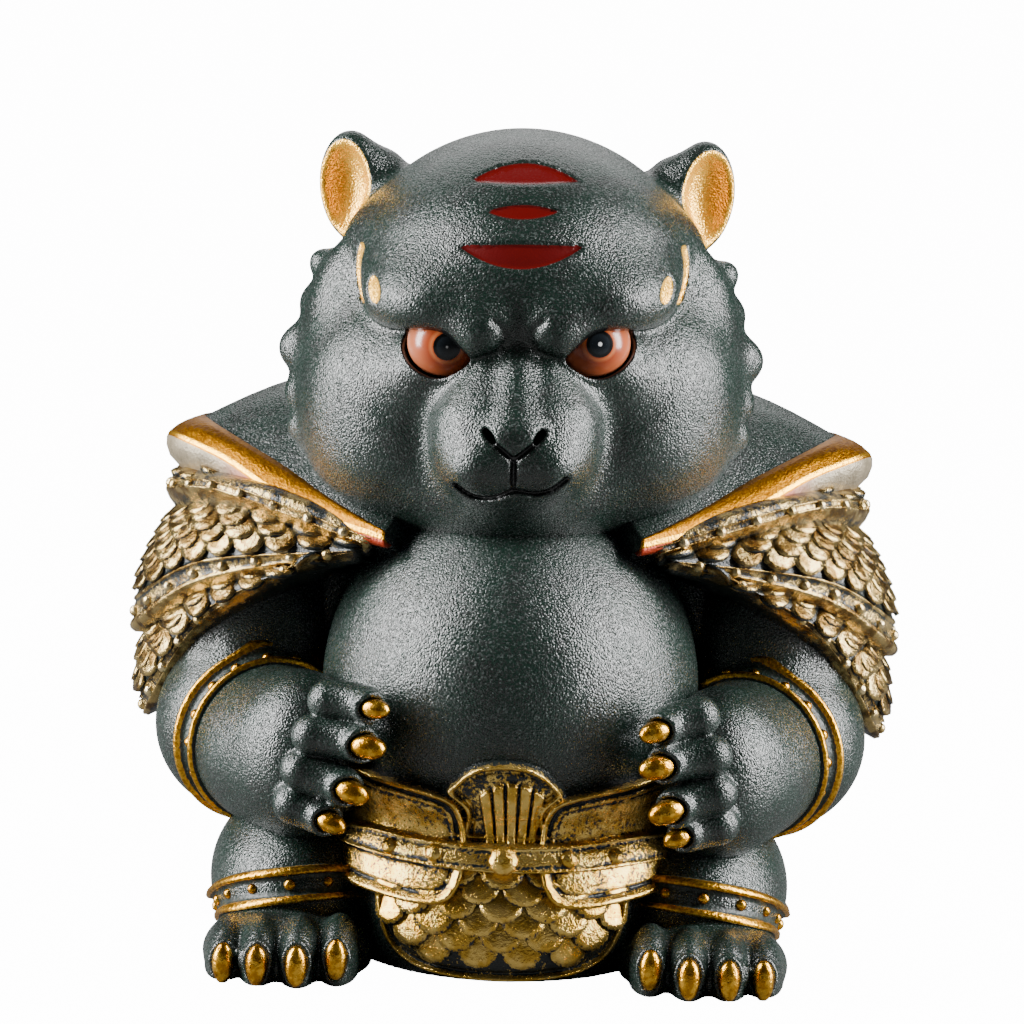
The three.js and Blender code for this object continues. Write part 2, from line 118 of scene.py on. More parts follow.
def feed(tree, node, inputs):
    """Give each input of a node a plain value, or the socket that feeds it."""
    for name, value in inputs.items():
        if isinstance(value, bpy.types.NodeSocket):
            tree.links.new(value, node.inputs[name])
        else:
            node.inputs[name].default_value = value


def add_node(tree, kind, inputs, **settings):
    """A shader or geometry node with its settings and inputs."""
    made = tree.nodes.new(kind)
    for name, value in settings.items():
        setattr(made, name, value)
    feed(tree, made, inputs)
    return made


def number(tree, how, *values):
    """A sum, a product or another reckoning with numbers."""
    return add_node(tree, "ShaderNodeMath", dict(enumerate(values)), operation=how).outputs[0]


for soft_box in SOFT_BOXES:
    place_light(*soft_box)

world = bpy.data.worlds.new("studio")
bpy.context.scene.world = world
world.use_nodes = True
feed(world.node_tree, world.node_tree.nodes["Background"], {"Color": SKY_COLOUR, "Strength": SKY_STRENGTH})

half = PAPER_SIZE / 2
corners = [(-half, -half), (half, -half), (half, half), (-half, half)]
paper_sheet = new_object("studio_paper", [(x, y, PAPER_DROP) for x, y in corners], [(0, 1, 2, 3)])
paper, tree, shader = new_material("studio_paper")
sight = add_node(tree, "ShaderNodeLightPath", {}).outputs["Is Camera Ray"]
feed(tree, shader, {"Base Color": PAPER_COLOUR, "Roughness": 0.8, "Emission Color": PAPER_COLOUR,
                    "Emission Strength": number(tree, "MULTIPLY", sight, PAPER_GLOW)})
paper_sheet.data.materials.append(paper)


# The head, cast with the body: a round skull and wide cheeks, brows that frown over the eyes, and
# a short muzzle. It is carved by blending rounded masses into each other and cutting lines into
# them. Each mass tells how far a point is outside it, in millimetres.
def turned(turn):
    """The matrix of a turn about x, then y, then z, in degrees."""
    x, y, z = (Matrix.Rotation(math.radians(angle), 3, axis) for angle, axis in zip(turn, "XYZ"))
    return np.array(z @ y @ x)


def ball(centre, radii, turn=(0, 0, 0)):
    """An ellipsoid, turned about x, y and z in degrees."""
    spin = turned(turn)
    centre, radii = np.array(centre, float), np.array(radii, float)

    def gap(p):
        q = ((p - centre) @ spin) / radii
        far = np.sqrt((q * q).sum(1)) + 1e-9
        q /= radii
        return far * (far - 1) / (np.sqrt((q * q).sum(1)) + 1e-9)
    return gap


def reach_along(points):
    """How far each point of a line is from its start, along the line."""
    return np.concatenate([[0], np.cumsum(np.linalg.norm(np.diff(points, axis=0), axis=1))])


def rope(points, radius, end_radius=None):
    """A round bar along a line of points, from one radius to another."""
    points = np.array(points, float)
    end_radius = radius if end_radius is None else end_radius
    reach = reach_along(points)
    reach /= reach[-1]

    def gap(p):
        best = np.full(len(p), 1e9)
        for a, b, s, t in zip(points[:-1], points[1:], reach[:-1], reach[1:]):
            line = b - a
            share = np.clip(((p - a) @ line) / (line @ line), 0, 1)
            away = p - a - share[:, None] * line
            size = radius + (end_radius - radius) * (s + (t - s) * share)
            best = np.minimum(best, np.sqrt((away * away).sum(1)) - size)
        return best
    return gap


def bends(points, count):
    """Points along a smooth curve, from the second given one towards the last but one."""
    out = []
    for i in range(len(points) - 3):
        a, b, c, d = points[i:i + 4]
        for t in np.arange(count) / count:
            out.append(0.5 * (2 * b + (c - a) * t + (2 * a - 5 * b + 4 * c - d) * t ** 2
                              + (3 * b - a - 3 * c + d) * t ** 3))
    return out


def curve(points, count):
    """Points along a smooth curve through the given ones."""
    points = np.array(points, float)
    ends = np.concatenate([[2 * points[0] - points[1]], points, [2 * points[-1] - points[-2]]])
    return np.array(bends(ends, count) + [points[-1]])


def melt(a, b, fillet):
    """Two masses in one, with a fillet between them."""
    overlap = np.maximum(fillet - np.abs(a - b), 0) / fillet
    return np.minimum(a, b) - overlap * overlap * fillet / 4


def merged(p, first, *others):
    """Several masses in one, each one after the first melted in with its own fillet."""
    gap = first(p)
    for mass, fillet in others:
        gap = melt(gap, mass(p), fillet)
    return gap


def carve(a, b, fillet):
    """The first mass less the second, with a softened edge."""
    return -melt(-a, b, fillet)


def unit(ways):
    """Ways, each one millimetre long."""
    return ways / np.linalg.norm(ways, axis=1)[:, None]


def ease(values):
    """A smooth step from 0 to 1."""
    values = np.clip(values, 0, 1)
    return values * values * (3 - 2 * values)


def bump(far, width):
    """A soft ridge, 1 high on its line and 0 from the given width away."""
    return 1 - ease(np.abs(far) / width)


def both(p):
    """The points folded onto the right half of the figure, with a soft fold."""
    q = p.copy()
    q[:, 0] = np.sqrt(p[:, 0] ** 2 + 0.2)
    return q


def seen(p):
    """The points as seen from the front, flat."""
    return p * (1, 0, 1)


def doubled(values):
    """The values of a net at twice as many steps, each new one halfway between two."""
    for axis in range(3):
        values = np.moveaxis(values, axis, 0)
        finer = np.empty((2 * len(values) - 1,) + values.shape[1:])
        finer[::2] = values
        finer[1::2] = (values[:-1] + values[1:]) / 2
        values = np.moveaxis(finer, 0, axis)
    return values


def skin(gap, low, high, voxel, focus=(0, 0, 0), spread=1000.0, levels=2):
    """The surface of a mass as points and quads. The mass is read on ever finer nets, and on the
    finer ones only near its surface. A net is closest at its focus and widens with the distance
    from there. At the end each point is pulled onto the surface itself."""
    focus = np.array(focus, float)
    first, last = (spread * np.arcsinh((np.array(v, float) - focus) / spread) for v in (low, high))
    step = voxel * 2 ** levels
    counts = np.ceil((last - first) / step).astype(int) + 1
    net = np.stack(np.meshgrid(*(first[i] + step * np.arange(counts[i]) for i in range(3)),
                               indexing="ij"), -1)
    values = gap(focus + spread * np.sinh(net.reshape(-1, 3) / spread)).reshape(counts)
    for _ in range(levels):
        values = doubled(values)
        step /= 2
        wide = [np.cosh((first[i] + step * np.arange(values.shape[i])) / spread) for i in range(3)]
        wide = np.maximum(np.maximum(wide[0][:, None, None], wide[1][None, :, None]), wide[2][None, None, :])
        near = np.abs(values) < 3.5 * step * wide
        values[near] = gap(focus + spread * np.sinh((first + np.argwhere(near) * step) / spread))
    grid = openvdb.FloatGrid(10.0)
    grid.copyFromArray(np.ascontiguousarray(np.clip(values, -10, 10), np.float32))
    points, quads = grid.convertToQuads(0.0)
    points = focus + spread * np.sinh((first + points * step) / spread)
    for _ in range(2):
        here = gap(points)
        tip = 0.02
        slope = np.stack([gap(points + tip * axis) - here for axis in np.eye(3)], 1) / tip
        pull = here[:, None] * slope / np.maximum((slope * slope).sum(1), 0.25)[:, None]
        points = points - np.clip(pull, -voxel / 2, voxel / 2)
    return points, quads


def paint(piece, name, values):
    """A value for each point of a piece, which its material reads."""
    layer = piece.data.attributes.new(name, "FLOAT", "POINT")
    layer.data.foreach_set("value", np.asarray(values, np.float32))


def dress(piece, material=None):
    """A finished piece of the casting: its paint, and the solid that it stands for."""
    if material:
        piece.data.materials.append(material)
    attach(piece, "root")
    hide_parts("tiger_figure")


SKULL = ball((0, -6, 86.3), (26, 26, 26))
FOREHEAD = ball((0, -14, 92), (23.6, 24, 18.5))
BROW = ball((11.5, -27.2, 90.6), (9.8, 10.8, 6.0), (0, -8, -27))
FROWN = ball((5.0, -35.2, 87.8), (3.1, 4.0, 3.8))
BROW_LINE = [(0, 85.2), (1.6, 85.3), (3.0, 85.0), (4.6, 84.5), (6.4, 84.0), (8.0, 85.2), (10.4, 87.0),
             (13.6, 87.5), (17.4, 87.4), (20.0, 88.3), (21.7, 90.6), (22.6, 93.6), (23.5, 97.2),
             (25, 101), (30, 108)]
RUFF = ball((0, -5, 79), (31, 17, 26))
CHEEK = ball((13.2, -13.5, 71.8), (16.8, 18.5, 14.6))
TEMPLE = ball((13, -14, 80), (16.6, 17.6, 12.5))
SIDE = ball((14.5, -12, 88), (14.2, 8, 13))
CHIN = ball((0, -19, 65.5), (17, 16.5, 10.5))
MUZZLE = ball((0, -33.2, 72.2), (10.6, 12.4, 9.6))
SNOUT = rope([(2.4, -32.6, 84.6), (4.7, -36.2, 75.6)], 3.3, 5.8)
WHISKER_PAD = ball((4.6, -37.2, 70.9), (5.6, 8.5, 5.0))
BRIDGE = rope([(0, -34.2, 86), (0, -41.6, 76.4)], 2.6, 3.0)
NOSE = ball((0, -43.4, 74.8), (4.2, 2.7, 2.6))
EYE_PLACE = (9.7, -32.0, 85.8)
EYE_RADII = (5.3, 5, 4.8)
EYEBALL = ball(EYE_PLACE, EYE_RADII)
EYE_BAG = ball((10.0, -28.8, 81.4), (7.6, 5.7, 5.0))
TUFT_TIPS = [(29.8, -6, 93.4), (30.6, -8, 88.2), (33.6, -9, 82.2), (32.4, -11, 76.0), (31.8, -13, 71.4)]
TUFT_SIZES = [1.9, 2.0, 3.0, 2.1, 1.9]
TUFTS = [rope([(x - 12, y - 5, z - 3.4), (x - size, y, z - 0.3 * size)], 1.5 * size, size)
         for (x, y, z), size in zip(TUFT_TIPS, TUFT_SIZES)]
EAR = ball((24.2, 0.5, 103), (5.0, 4.4, 7.8), (0, 8, 35))
EAR_ROOT = ball((20, 1.5, 101.6), (4.4, 5, 6.5))
EAR_HOLLOW = ball((26.3, -3.6, 102.8), (4.1, 4.8, 7.2), (0, 8, 42))
MOUTH_CUT = rope(curve([(-7.7, 0, 67.7), (-5.2, 0, 66.2), (-2.5, 0, 66.3), (0.1, 0, 67.4), (2.8, 0, 67.1),
                        (5.0, 0, 67.7), (7.0, 0, 69.3)], 6), 0)
LIP_CUT = rope([(0, 0, 67.4), (0, 0, 71.8)], 0)
NOSE_CUT = rope([(-3.8, 0, 75.4), (-2.8, 0, 74.1), (0, 0, 71.7), (2.8, 0, 74.1), (3.6, 0, 75.4)], 0)
NOSTRIL = ball((3.3, -44.6, 74.8), (1.1, 3, 0.55), (0, -54, 0))
CURL_CUT = rope(curve([(3.4, 0, 89.4), (2.3, 0, 88.4), (1.9, 0, 87.2), (2.2, 0, 86.2)], 6), 0)
STRIPES = [
    # middle, half width, rise of the upper edge, fall of the lower edge
    (106.9, 7.3, 2.2, 0.2),
    (103.4, 5.0, 0.9, 0.9),
    (99.0, 8.4, 0.4, 2.8),
]
TEMPLE_ARC = rope(curve([(21.9, 0, 97.4), (22.3, 0, 95.4), (22.2, 0, 93.0), (21.4, 0, 90.2)], 6), 0)
TEMPLE_DROP = ball((19.6, 0, 92.8), (0.8, 9, 1.7), (0, 8, 0))
FACE_TILT = 0.028


def stripe_gap(p):
    """How far a point is outside the stripes of the brow, seen from the front."""
    best = np.full(len(p), 1e9)
    for middle, half, rise, fall in STRIPES:
        share = p[:, 0] / half
        taper = 1 - share * share
        up = p[:, 2] - middle
        edge = np.where(up > 0, up - rise * taper, -up - fall * taper)
        best = np.minimum(best, np.maximum(edge, (np.abs(p[:, 0]) - half) * 0.5))
    return np.where(p[:, 1] < -10, best, 9.0)


def temple_marks(q):
    """How far a point is outside the gilded arc and the gilded drop beside each brow."""
    marks = np.minimum(TEMPLE_ARC(seen(q)) - 0.35, TEMPLE_DROP(seen(q)))
    return np.where(q[:, 1] < -17, marks, 9.0)


def face_points(p):
    """The points with the face's slight tilt taken out, folded onto one half."""
    q = p.copy()
    q[:, 2] -= FACE_TILT * p[:, 0] * ease((-8 - p[:, 1]) / 16)
    return both(q)


def brow_gap(q):
    """The dome of the forehead, which ends below in the overhanging line of the brows."""
    dome = merged(q, SKULL, (FOREHEAD, 4), (BROW, 4), (FROWN, 4.5))
    line = curve([(x, 0, z) for x, z in BROW_LINE], 8)
    steep = np.gradient(line[:, 2], line[:, 0])
    floor = np.interp(q[:, 0], line[:, 0], line[:, 2]) - 50 * ease((q[:, 1] + 12) / 22)
    steep = np.interp(q[:, 0], line[:, 0], steep)
    return carve(dome, (q[:, 2] - floor) / np.sqrt(1 + steep * steep), 2.0)


def facing(q):
    """1 on the face, where its lines are cut, and 0 behind it."""
    return ease((-26 - q[:, 1]) / 6)


def to_lines(p):
    """How far a point is from the lines of the mouth and nose, seen from the front."""
    return np.minimum(np.minimum(MOUTH_CUT(seen(p)), LIP_CUT(seen(p))), NOSE_CUT(seen(p)))


def head_gap(p):
    q = face_points(p)
    lower = merged(q, RUFF, (CHEEK, 5), (TEMPLE, 5), (SIDE, 5), (CHIN, 4), (EYE_BAG, 4))
    muzzle = merged(q, MUZZLE, (WHISKER_PAD, 2.5), (SNOUT, 4), (BRIDGE, 1.6), (NOSE, 1.4))
    lower = melt(lower, muzzle, 3.5)
    eye = EYEBALL(q)
    lower = lower - 0.4 * bump(eye - 0.95, 0.7) * ease((-28 - q[:, 1]) / 3)
    lower = carve(lower, eye - 0.35, 0.5)
    gap = melt(brow_gap(q), lower, 1.2 + 3.5 * ease((q[:, 2] - 93) / 8))
    for tuft in TUFTS:
        gap = melt(gap, tuft(q), 2.5)
    ear = carve(merged(q, EAR, (EAR_ROOT, 3)), EAR_HOLLOW(q), 0.8)
    gap = melt(gap, ear, 2.5)
    gap = gap + facing(q) * (0.75 * bump(to_lines(p), 0.65) + 0.3 * bump(CURL_CUT(seen(q)), 0.8))
    gap = carve(gap, NOSTRIL(q), 0.4)
    gap = gap + 0.4 * (1 - ease(stripe_gap(q) / 0.5 + 0.5))
    gap = gap + 0.35 * (1 - ease(temple_marks(q) / 0.4 + 0.5))
    return gap


HEAD_VOXEL = 0.342
points, quads = skin(head_gap, (-42, -54, 50), (42, 24, 116), HEAD_VOXEL, (0, -42, 78), 20)
head = new_object("head_skin", points, quads)
folded = face_points(points)
inked = np.where(facing(folded) > 0.5, 0.42 - to_lines(points), -9)
paint(head, "gilded", -np.minimum(EAR_HOLLOW(folded) - 0.5, temple_marks(folded)))
paint(head, "lacquered", -stripe_gap(folded))
paint(head, "blackened", np.maximum(0.95 - EYEBALL(folded), inked))

CLAY_GREEN = (0.007, 0.020, 0.014, 1)
CLAY_GREY = (0.013, 0.012, 0.012, 1)
CLAY_SPECK = (0.055, 0.075, 0.068, 1)
CLAY_GRAIN = 0.28
CLAY_SHEEN = 0.72
CLAY_DEPTH = 0.08
GLOSS_ROUGHNESS = 0.26
GOLD = (0.90, 0.46, 0.035, 1)
GOLD_PALE = (0.98, 0.56, 0.06, 1)
LACQUER = (0.10, 0.001, 0.001, 1)
BLACK = (0.004, 0.005, 0.005, 1)


def blend(tree, share, a, b):
    """A colour between two, for a share from 0 to 1."""
    return add_node(tree, "ShaderNodeMix", {0: share, 6: a, 7: b}, data_type="RGBA").outputs[2]


def reading(tree, name):
    """A value painted on the points of the piece."""
    return add_node(tree, "ShaderNodeAttribute", {}, attribute_name=name).outputs["Fac"]


def rising(tree, value, low, high):
    """0 below the low value, 1 above the high one."""
    return add_node(tree, "ShaderNodeMapRange", {"Value": value, "From Min": low, "From Max": high},
                    interpolation_type="SMOOTHSTEP").outputs["Result"]


def noise(tree, place, size, detail=2.0, rough=0.5):
    """A cloudy value from 0 to 1 with lumps of a size in millimetres."""
    return add_node(tree, "ShaderNodeTexNoise", {"Vector": place, "Scale": 1 / (size * MM), "Detail": detail,
                                                 "Roughness": rough}).outputs["Fac"]


def place_on(tree):
    """Where a point is on the piece itself."""
    return add_node(tree, "ShaderNodeTexCoord", {}).outputs["Object"]


def new_group(name, inputs, outputs):
    """A shader group with named inputs and outputs."""
    group = bpy.data.node_groups.new(name, "ShaderNodeTree")
    for socket, kind, value in inputs:
        made = group.interface.new_socket(socket, in_out="INPUT", socket_type=kind)
        if value is not None:
            made.default_value = value
    for socket, kind in outputs:
        group.interface.new_socket(socket, in_out="OUTPUT", socket_type=kind)
    return group, group.nodes.new("NodeGroupInput").outputs, group.nodes.new("NodeGroupOutput")


tree, given, result = new_group(
    "clay_grain",
    [("Place", "NodeSocketVector", None), ("Green", "NodeSocketColor", CLAY_GREEN),
     ("Grey", "NodeSocketColor", CLAY_GREY), ("Speck", "NodeSocketColor", CLAY_SPECK),
     ("Grain", "NodeSocketFloat", CLAY_GRAIN)],
    [("Colour", "NodeSocketColor"), ("Roughness", "NodeSocketFloat"), ("Height", "NodeSocketFloat")])
fine = number(tree, "DIVIDE", 1000.0, given["Grain"])
pebbles = add_node(tree, "ShaderNodeTexVoronoi", {"Vector": given["Place"], "Scale": fine},
                   feature="F1").outputs["Distance"]
specks, clouds = (
    add_node(tree, "ShaderNodeTexNoise", {
        "Vector": given["Place"], "Detail": detail, "Scale": number(tree, "MULTIPLY", fine, share)
    }).outputs["Fac"] for detail, share in ((1.0, 0.9), (2.0, 0.06)))
share = number(tree, "ADD", rising(tree, specks, 0.42, 0.62),
               number(tree, "MULTIPLY_ADD", clouds, 1.6, -0.8))
share = number(tree, "MAXIMUM", number(tree, "MINIMUM", share, 1.0), 0.0)
tint = blend(tree, share, given["Green"], given["Grey"])
tint = blend(tree, rising(tree, specks, 0.56, 0.70), tint, given["Speck"])
feed(tree, result, {
    "Colour": tint, "Roughness": number(tree, "MULTIPLY_ADD", specks, 0.28, 0.13),
    "Height": number(tree, "SUBTRACT", number(tree, "MULTIPLY", specks, 0.8), pebbles)})
clay_grain = tree


def add_group(tree, group, **inputs):
    """A group of this part in a material, read where the point is on the piece."""
    used = add_node(tree, "ShaderNodeGroup", {}, node_tree=group)
    feed(tree, used, {"Place": place_on(tree), **inputs})
    return used.outputs


def relief(tree, height, depth):
    """Fine relief of a depth in millimetres."""
    return add_node(tree, "ShaderNodeBump", {"Height": height, "Strength": 1.0,
                                             "Distance": depth * MM}).outputs["Normal"]


painted, tree, shader = new_material("painted_clay")
grain = add_group(tree, clay_grain)
gilded = rising(tree, reading(tree, "gilded"), -0.1, 0.1)
lacquered = rising(tree, reading(tree, "lacquered"), -0.05, 0.1)
blackened = rising(tree, reading(tree, "blackened"), -0.08, 0.08)
leaf = blend(tree, rising(tree, noise(tree, place_on(tree), 0.8), 0.4, 0.62), GOLD, GOLD_PALE)
colour = blend(tree, gilded, grain["Colour"], leaf)
colour = blend(tree, lacquered, colour, LACQUER)
colour = blend(tree, blackened, colour, BLACK)
gloss = number(tree, "MAXIMUM", lacquered, blackened)
smoother = number(tree, "SUBTRACT", GLOSS_ROUGHNESS, grain["Roughness"])
plain = number(tree, "SUBTRACT", 1.0, number(tree, "MULTIPLY", gloss, 0.85))
feed(tree, shader, {
    "Base Color": colour, "Metallic": number(tree, "MULTIPLY", gilded, 0.55),
    "Roughness": number(tree, "MULTIPLY_ADD", gloss, smoother, grain["Roughness"]),
    "Normal": relief(tree, number(tree, "MULTIPLY", grain["Height"], plain), CLAY_DEPTH),
    "Specular IOR Level": CLAY_SHEEN})
dress(head, painted)

clay, tree, shader = new_material("dark_clay")
grain = add_group(tree, clay_grain)
feed(tree, shader, {"Base Color": grain["Colour"], "Roughness": grain["Roughness"],
                    "Normal": relief(tree, grain["Height"], CLAY_DEPTH), "Specular IOR Level": CLAY_SHEEN})


# The eyes are part of the casting too, polished and painted orange with black pupils, each pupil with a
# painted highlight: a white glint in its middle.
def round_mesh(centre, radii, turn=(0, 0, 0), wide=48, high=32, shape=None):
    """A closed ball as points and faces, its poles along x, shaped before it is placed."""
    points = [(-1.0, 0.0, 0.0)]
    for i in range(1, high):
        polar = math.pi * i / high
        for j in range(wide):
            turn_by = 2 * math.pi * j / wide
            points.append((-math.cos(polar), math.sin(polar) * math.cos(turn_by),
                           math.sin(polar) * math.sin(turn_by)))
    points.append((1.0, 0.0, 0.0))
    last = len(points) - 1
    faces = [(0, 1 + (j + 1) % wide, 1 + j) for j in range(wide)]
    for i in range(high - 2):
        a, b = 1 + i * wide, 1 + (i + 1) * wide
        faces += [(a + j, a + (j + 1) % wide, b + (j + 1) % wide, b + j) for j in range(wide)]
    a = 1 + (high - 2) * wide
    faces += [(last, a + j, a + (j + 1) % wide) for j in range(wide)]
    points = np.array(points)
    if shape:
        points = shape(points)
    return points * radii @ turned(turn).T + centre, faces


def gather(parts):
    """Several meshes in one."""
    points, faces, start = [], [], 0
    for some, these in parts:
        points.append(some)
        faces += [tuple(start + i for i in face) for face in these]
        start += len(some)
    return np.concatenate(points), faces


PUPILS = [(-9.5, -36.7, 85.5), (10.9, -36.7, 86.5)]
EYE_RINGS_AND_GLINT = [
    # share of 10 mm out from the middle of the pupil, and the colour there; the white at the middle is a
    # painted highlight
    (0.026, (0.9, 0.9, 0.9, 1)), (0.034, (0.004, 0.006, 0.008, 1)), (0.13, (0.010, 0.014, 0.018, 1)),
    (0.15, (0.001, 0.001, 0.001, 1)), (0.18, (0.001, 0.001, 0.001, 1)), (0.19, (0.42, 0.08, 0.02, 1)),
    (0.215, (0.50, 0.14, 0.045, 1)), (0.26, (0.30, 0.045, 0.010, 1)), (0.4, (0.40, 0.09, 0.03, 1)),
    (0.62, (0.46, 0.15, 0.07, 1))]
points, faces = gather([
    round_mesh(np.array((side, 1, 1)) * EYE_PLACE + (0, 0, FACE_TILT * side * EYE_PLACE[0]), EYE_RADII)
    for side in (-1, 1)])
eyes = new_object("eyes", points, faces)
eye_paint, tree, shader = new_material("eye_paint")
place = place_on(tree)
from_pupil = number(tree, "MINIMUM", *(
    add_node(tree, "ShaderNodeVectorMath", {0: place, 1: Vector(pupil) * MM},
             operation="DISTANCE").outputs["Value"] for pupil in PUPILS))
rings = add_node(tree, "ShaderNodeValToRGB", {0: number(tree, "MULTIPLY", from_pupil, 0.1 / MM)})
ramp = rings.color_ramp
for position, tone in EYE_RINGS_AND_GLINT:
    ramp.elements.new(position).color = tone
ramp.elements.remove(ramp.elements[0])
ramp.elements.remove(ramp.elements[-1])
feed(tree, shader, {"Base Color": rings.outputs["Color"], "Roughness": 0.22})
dress(eyes, eye_paint)


# The trunk: a ball of a belly over a narrower lap, with the chest, back and seat behind it, and a
# tail that curls up against the back.
BELLY = ball((0, -17, 36), (26, 28, 28))
LAP = ball((0, -17, 9), (24, 27, 24))
CHEST = ball((0, 6, 44), (37, 23, 25))
SEAT = ball((0, 9, 15), (35, 25, 26))
TAIL = rope(curve([(4, 30, 3.5), (15, 31.5, 4.5), (24, 28.5, 11), (22.5, 30, 21), (14, 32, 26),
                   (8, 31.5, 33)], 8), 3.8, 3.0)


def belly_gap(p):
    return merged(p, BELLY, (LAP, 2))


def trunk_gap(p):
    return carve(merged(p, belly_gap, (CHEST, 2), (SEAT, 2), (TAIL, 1.5)), p[:, 2], 0.6)


TRUNK_VOXEL = 0.8
points, quads = skin(trunk_gap, (-42, -50, -2), (42, 40, 74), TRUNK_VOXEL)
trunk = new_object("trunk_skin", points, quads)
dress(trunk, clay)


# The arms hang from the shoulders and bend forwards, so that the paws meet the belly. Each paw has
# four plump fingers, with a fold of skin round the claw. The figure's left hand lies a bit lower.
UPPER_ARM = ball((36, -1, 42), (13, 14, 18))
ELBOW = ball((36.6, -8, 28), (13.2, 13.5, 13))
FOREARM = ball((32.6, -19, 27), (10.9, 12, 11.1))
PALM = ball((28.4, -30, 27.8), (8.8, 9.4, 11.5))
HANDS = {
    # the middle of each knuckle and of its claw, from the top finger down, and the claw's size
    -1: [((24.0, -40.0, 37.6), (17.5, -44.4, 37.5), 0.82), ((26.0, -41.2, 33.0), (18.3, -45.4, 32.5), 1.0),
         ((27.4, -41.2, 28.2), (20.3, -45.2, 26.2), 0.96), ((28.4, -39.4, 23.2), (23.1, -43.2, 21.5), 0.86)],
    1: [((25.8, -40.0, 37.0), (19.9, -44.4, 35.6), 0.9), ((27.6, -41.2, 32.0), (20.3, -45.2, 30.9), 1.0),
        ((28.4, -41.0, 26.8), (21.8, -45.0, 24.9), 1.02), ((28.9, -39.2, 22.2), (23.4, -43.0, 20.9), 0.8)]}
KNUCKLE_RADIUS = 2.85
FINGERTIP_RADIUS = 2.65
FINGER_CLAW = (2.55, 1.7, 1.65)
CLAW_FOLD = 0.5
HAND_SHIFTS = {-1: (-0.6, 0, 0.3), 1: (0.4, 0, -0.8)}
LIMB_VOXEL = 0.36
LIMB_SPREAD = 22


def finger_claws(side):
    """The middle of each claw of a hand, the way that it points, and its size."""
    for knuckle, claw, size in HANDS[side]:
        ahead = np.subtract(claw, knuckle) + (0, 1.6, 0)
        yield np.array(claw), ahead / np.linalg.norm(ahead), size


def claw_turn(ahead):
    """The turn, in degrees, that lays a claw's long axis along its finger."""
    return (0, -math.degrees(math.asin(ahead[2])), math.degrees(math.atan2(ahead[1], ahead[0])))


def set_claws(gap, p, claws):
    """A fold of skin raised round the root of each claw, and the hollow that the claw sits in."""
    for claw, place, ahead in claws:
        away = claw(p)
        behind = ease(0.75 - ((p - place) @ ahead) / 2.4)
        gap = carve(gap - CLAW_FOLD * bump(away - 0.75, 0.8) * behind, away - 0.22, 0.25)
    return gap


def arm_gap(side):
    shift = np.array(HAND_SHIFTS[side], float)
    claws = [(ball(place, np.array(FINGER_CLAW) * size, claw_turn(ahead)), place, ahead)
             for place, ahead, size in finger_claws(side)]

    def gap(p):
        q = p * (side, 1, 1)
        slid = q - shift * ease((-q[:, 1] - 14) / 18)[:, None]
        arm = melt(merged(q, UPPER_ARM, (ELBOW, 3), (FOREARM, 3)), PALM(slid), 7)
        hand = np.full(len(p), 9.0)
        for (place, ahead, _), (knuckle, _, _) in zip(finger_claws(side), HANDS[side]):
            tip = place - ahead * 1.5 + (0, 1.9, 0)
            waist = np.array(knuckle) * 0.45 + tip * 0.55 + (0, 0.6, 0)
            finger = melt(rope([knuckle, waist], KNUCKLE_RADIUS, 2.4)(q),
                          rope([waist, tip], 2.4, FINGERTIP_RADIUS)(q), 1.5)
            hand = melt(hand, finger, 0.25)
        return set_claws(melt(arm, hand, 0.8), q, claws)
    return gap


def cast_limbs(names, limb, low, high, paw):
    """A limb at each side, out of its box, with the closest net at the paw."""
    for side, name in zip((-1, 1), names):
        flip = (side, 1, 1)
        box = np.sort([np.multiply(low, flip), np.multiply(high, flip)], axis=0)
        points, quads = skin(limb(side), *box, LIMB_VOXEL, np.multiply(paw, flip), LIMB_SPREAD)
        dress(new_object(name, points, quads), clay)


cast_limbs(("arm_right_skin", "arm_left_skin"), arm_gap, (10, -50, 12), (53, 16, 62), (24, -44, 30))


# The legs are short and the feet stick out in front, with four toes on each.
LEG = ball((28, -17, 9), (12.2, 19, 12.2))
FOOT = ball((28.4, -33, 1.8), (11.6, 12.5, 6.4))
TOES = [(21.2, -47.2, 2.6), (26.4, -49.0, 2.6), (31.7, -48.2, 2.2), (36.4, -45.4, 1.4)]
TOE_RADII = (3.0, 8.2, 5.7)
TOE_CLAW = (1.45, 1.25, 2.85)
TOE_CLAW_HEIGHTS = [4.0, 3.3, 3.1, 2.6]
FOOT_SHIFTS = {-1: np.array((0.6, -1.5, 0)), 1: np.array((-0.9, -1.5, 0))}


def toe_claws(side):
    """The middle of each claw of a foot."""
    for (x, y, z), height in zip(TOES, TOE_CLAW_HEIGHTS):
        yield np.array((x, y + 0.35, height)) + FOOT_SHIFTS[side]


def ankle_gap(p):
    return merged(p, LEG, (FOOT, 2))


def leg_gap(side):
    toes = [ball((x, y + TOE_RADII[1], z), TOE_RADII) for x, y, z in TOES]
    claws = [(ball(place, TOE_CLAW), place, np.array((0, 0, -1.0))) for place in toe_claws(side)]

    def gap(p):
        q = p * (side, 1, 1)
        slid = q - FOOT_SHIFTS[side]
        foot = np.full(len(p), 9.0)
        for toe in toes:
            foot = melt(foot, toe(slid), 0.3)
        leg = set_claws(melt(ankle_gap(slid), foot, 0.7), q, claws)
        return carve(leg, q[:, 2], 0.6)
    return gap


cast_limbs(("leg_right_skin", "leg_left_skin"), leg_gap, (12, -52, -1.5), (44, 6, 24), (28, -48, 4))


# The claws are gilded: smooth drops that come out of the fingers and toes. Their gold is bright,
# with a little dark left in its pores.
BRIGHT_GOLD = (0.86, 0.47, 0.050, 1)
BRIGHT_GOLD_DEEP = (0.50, 0.22, 0.012, 1)

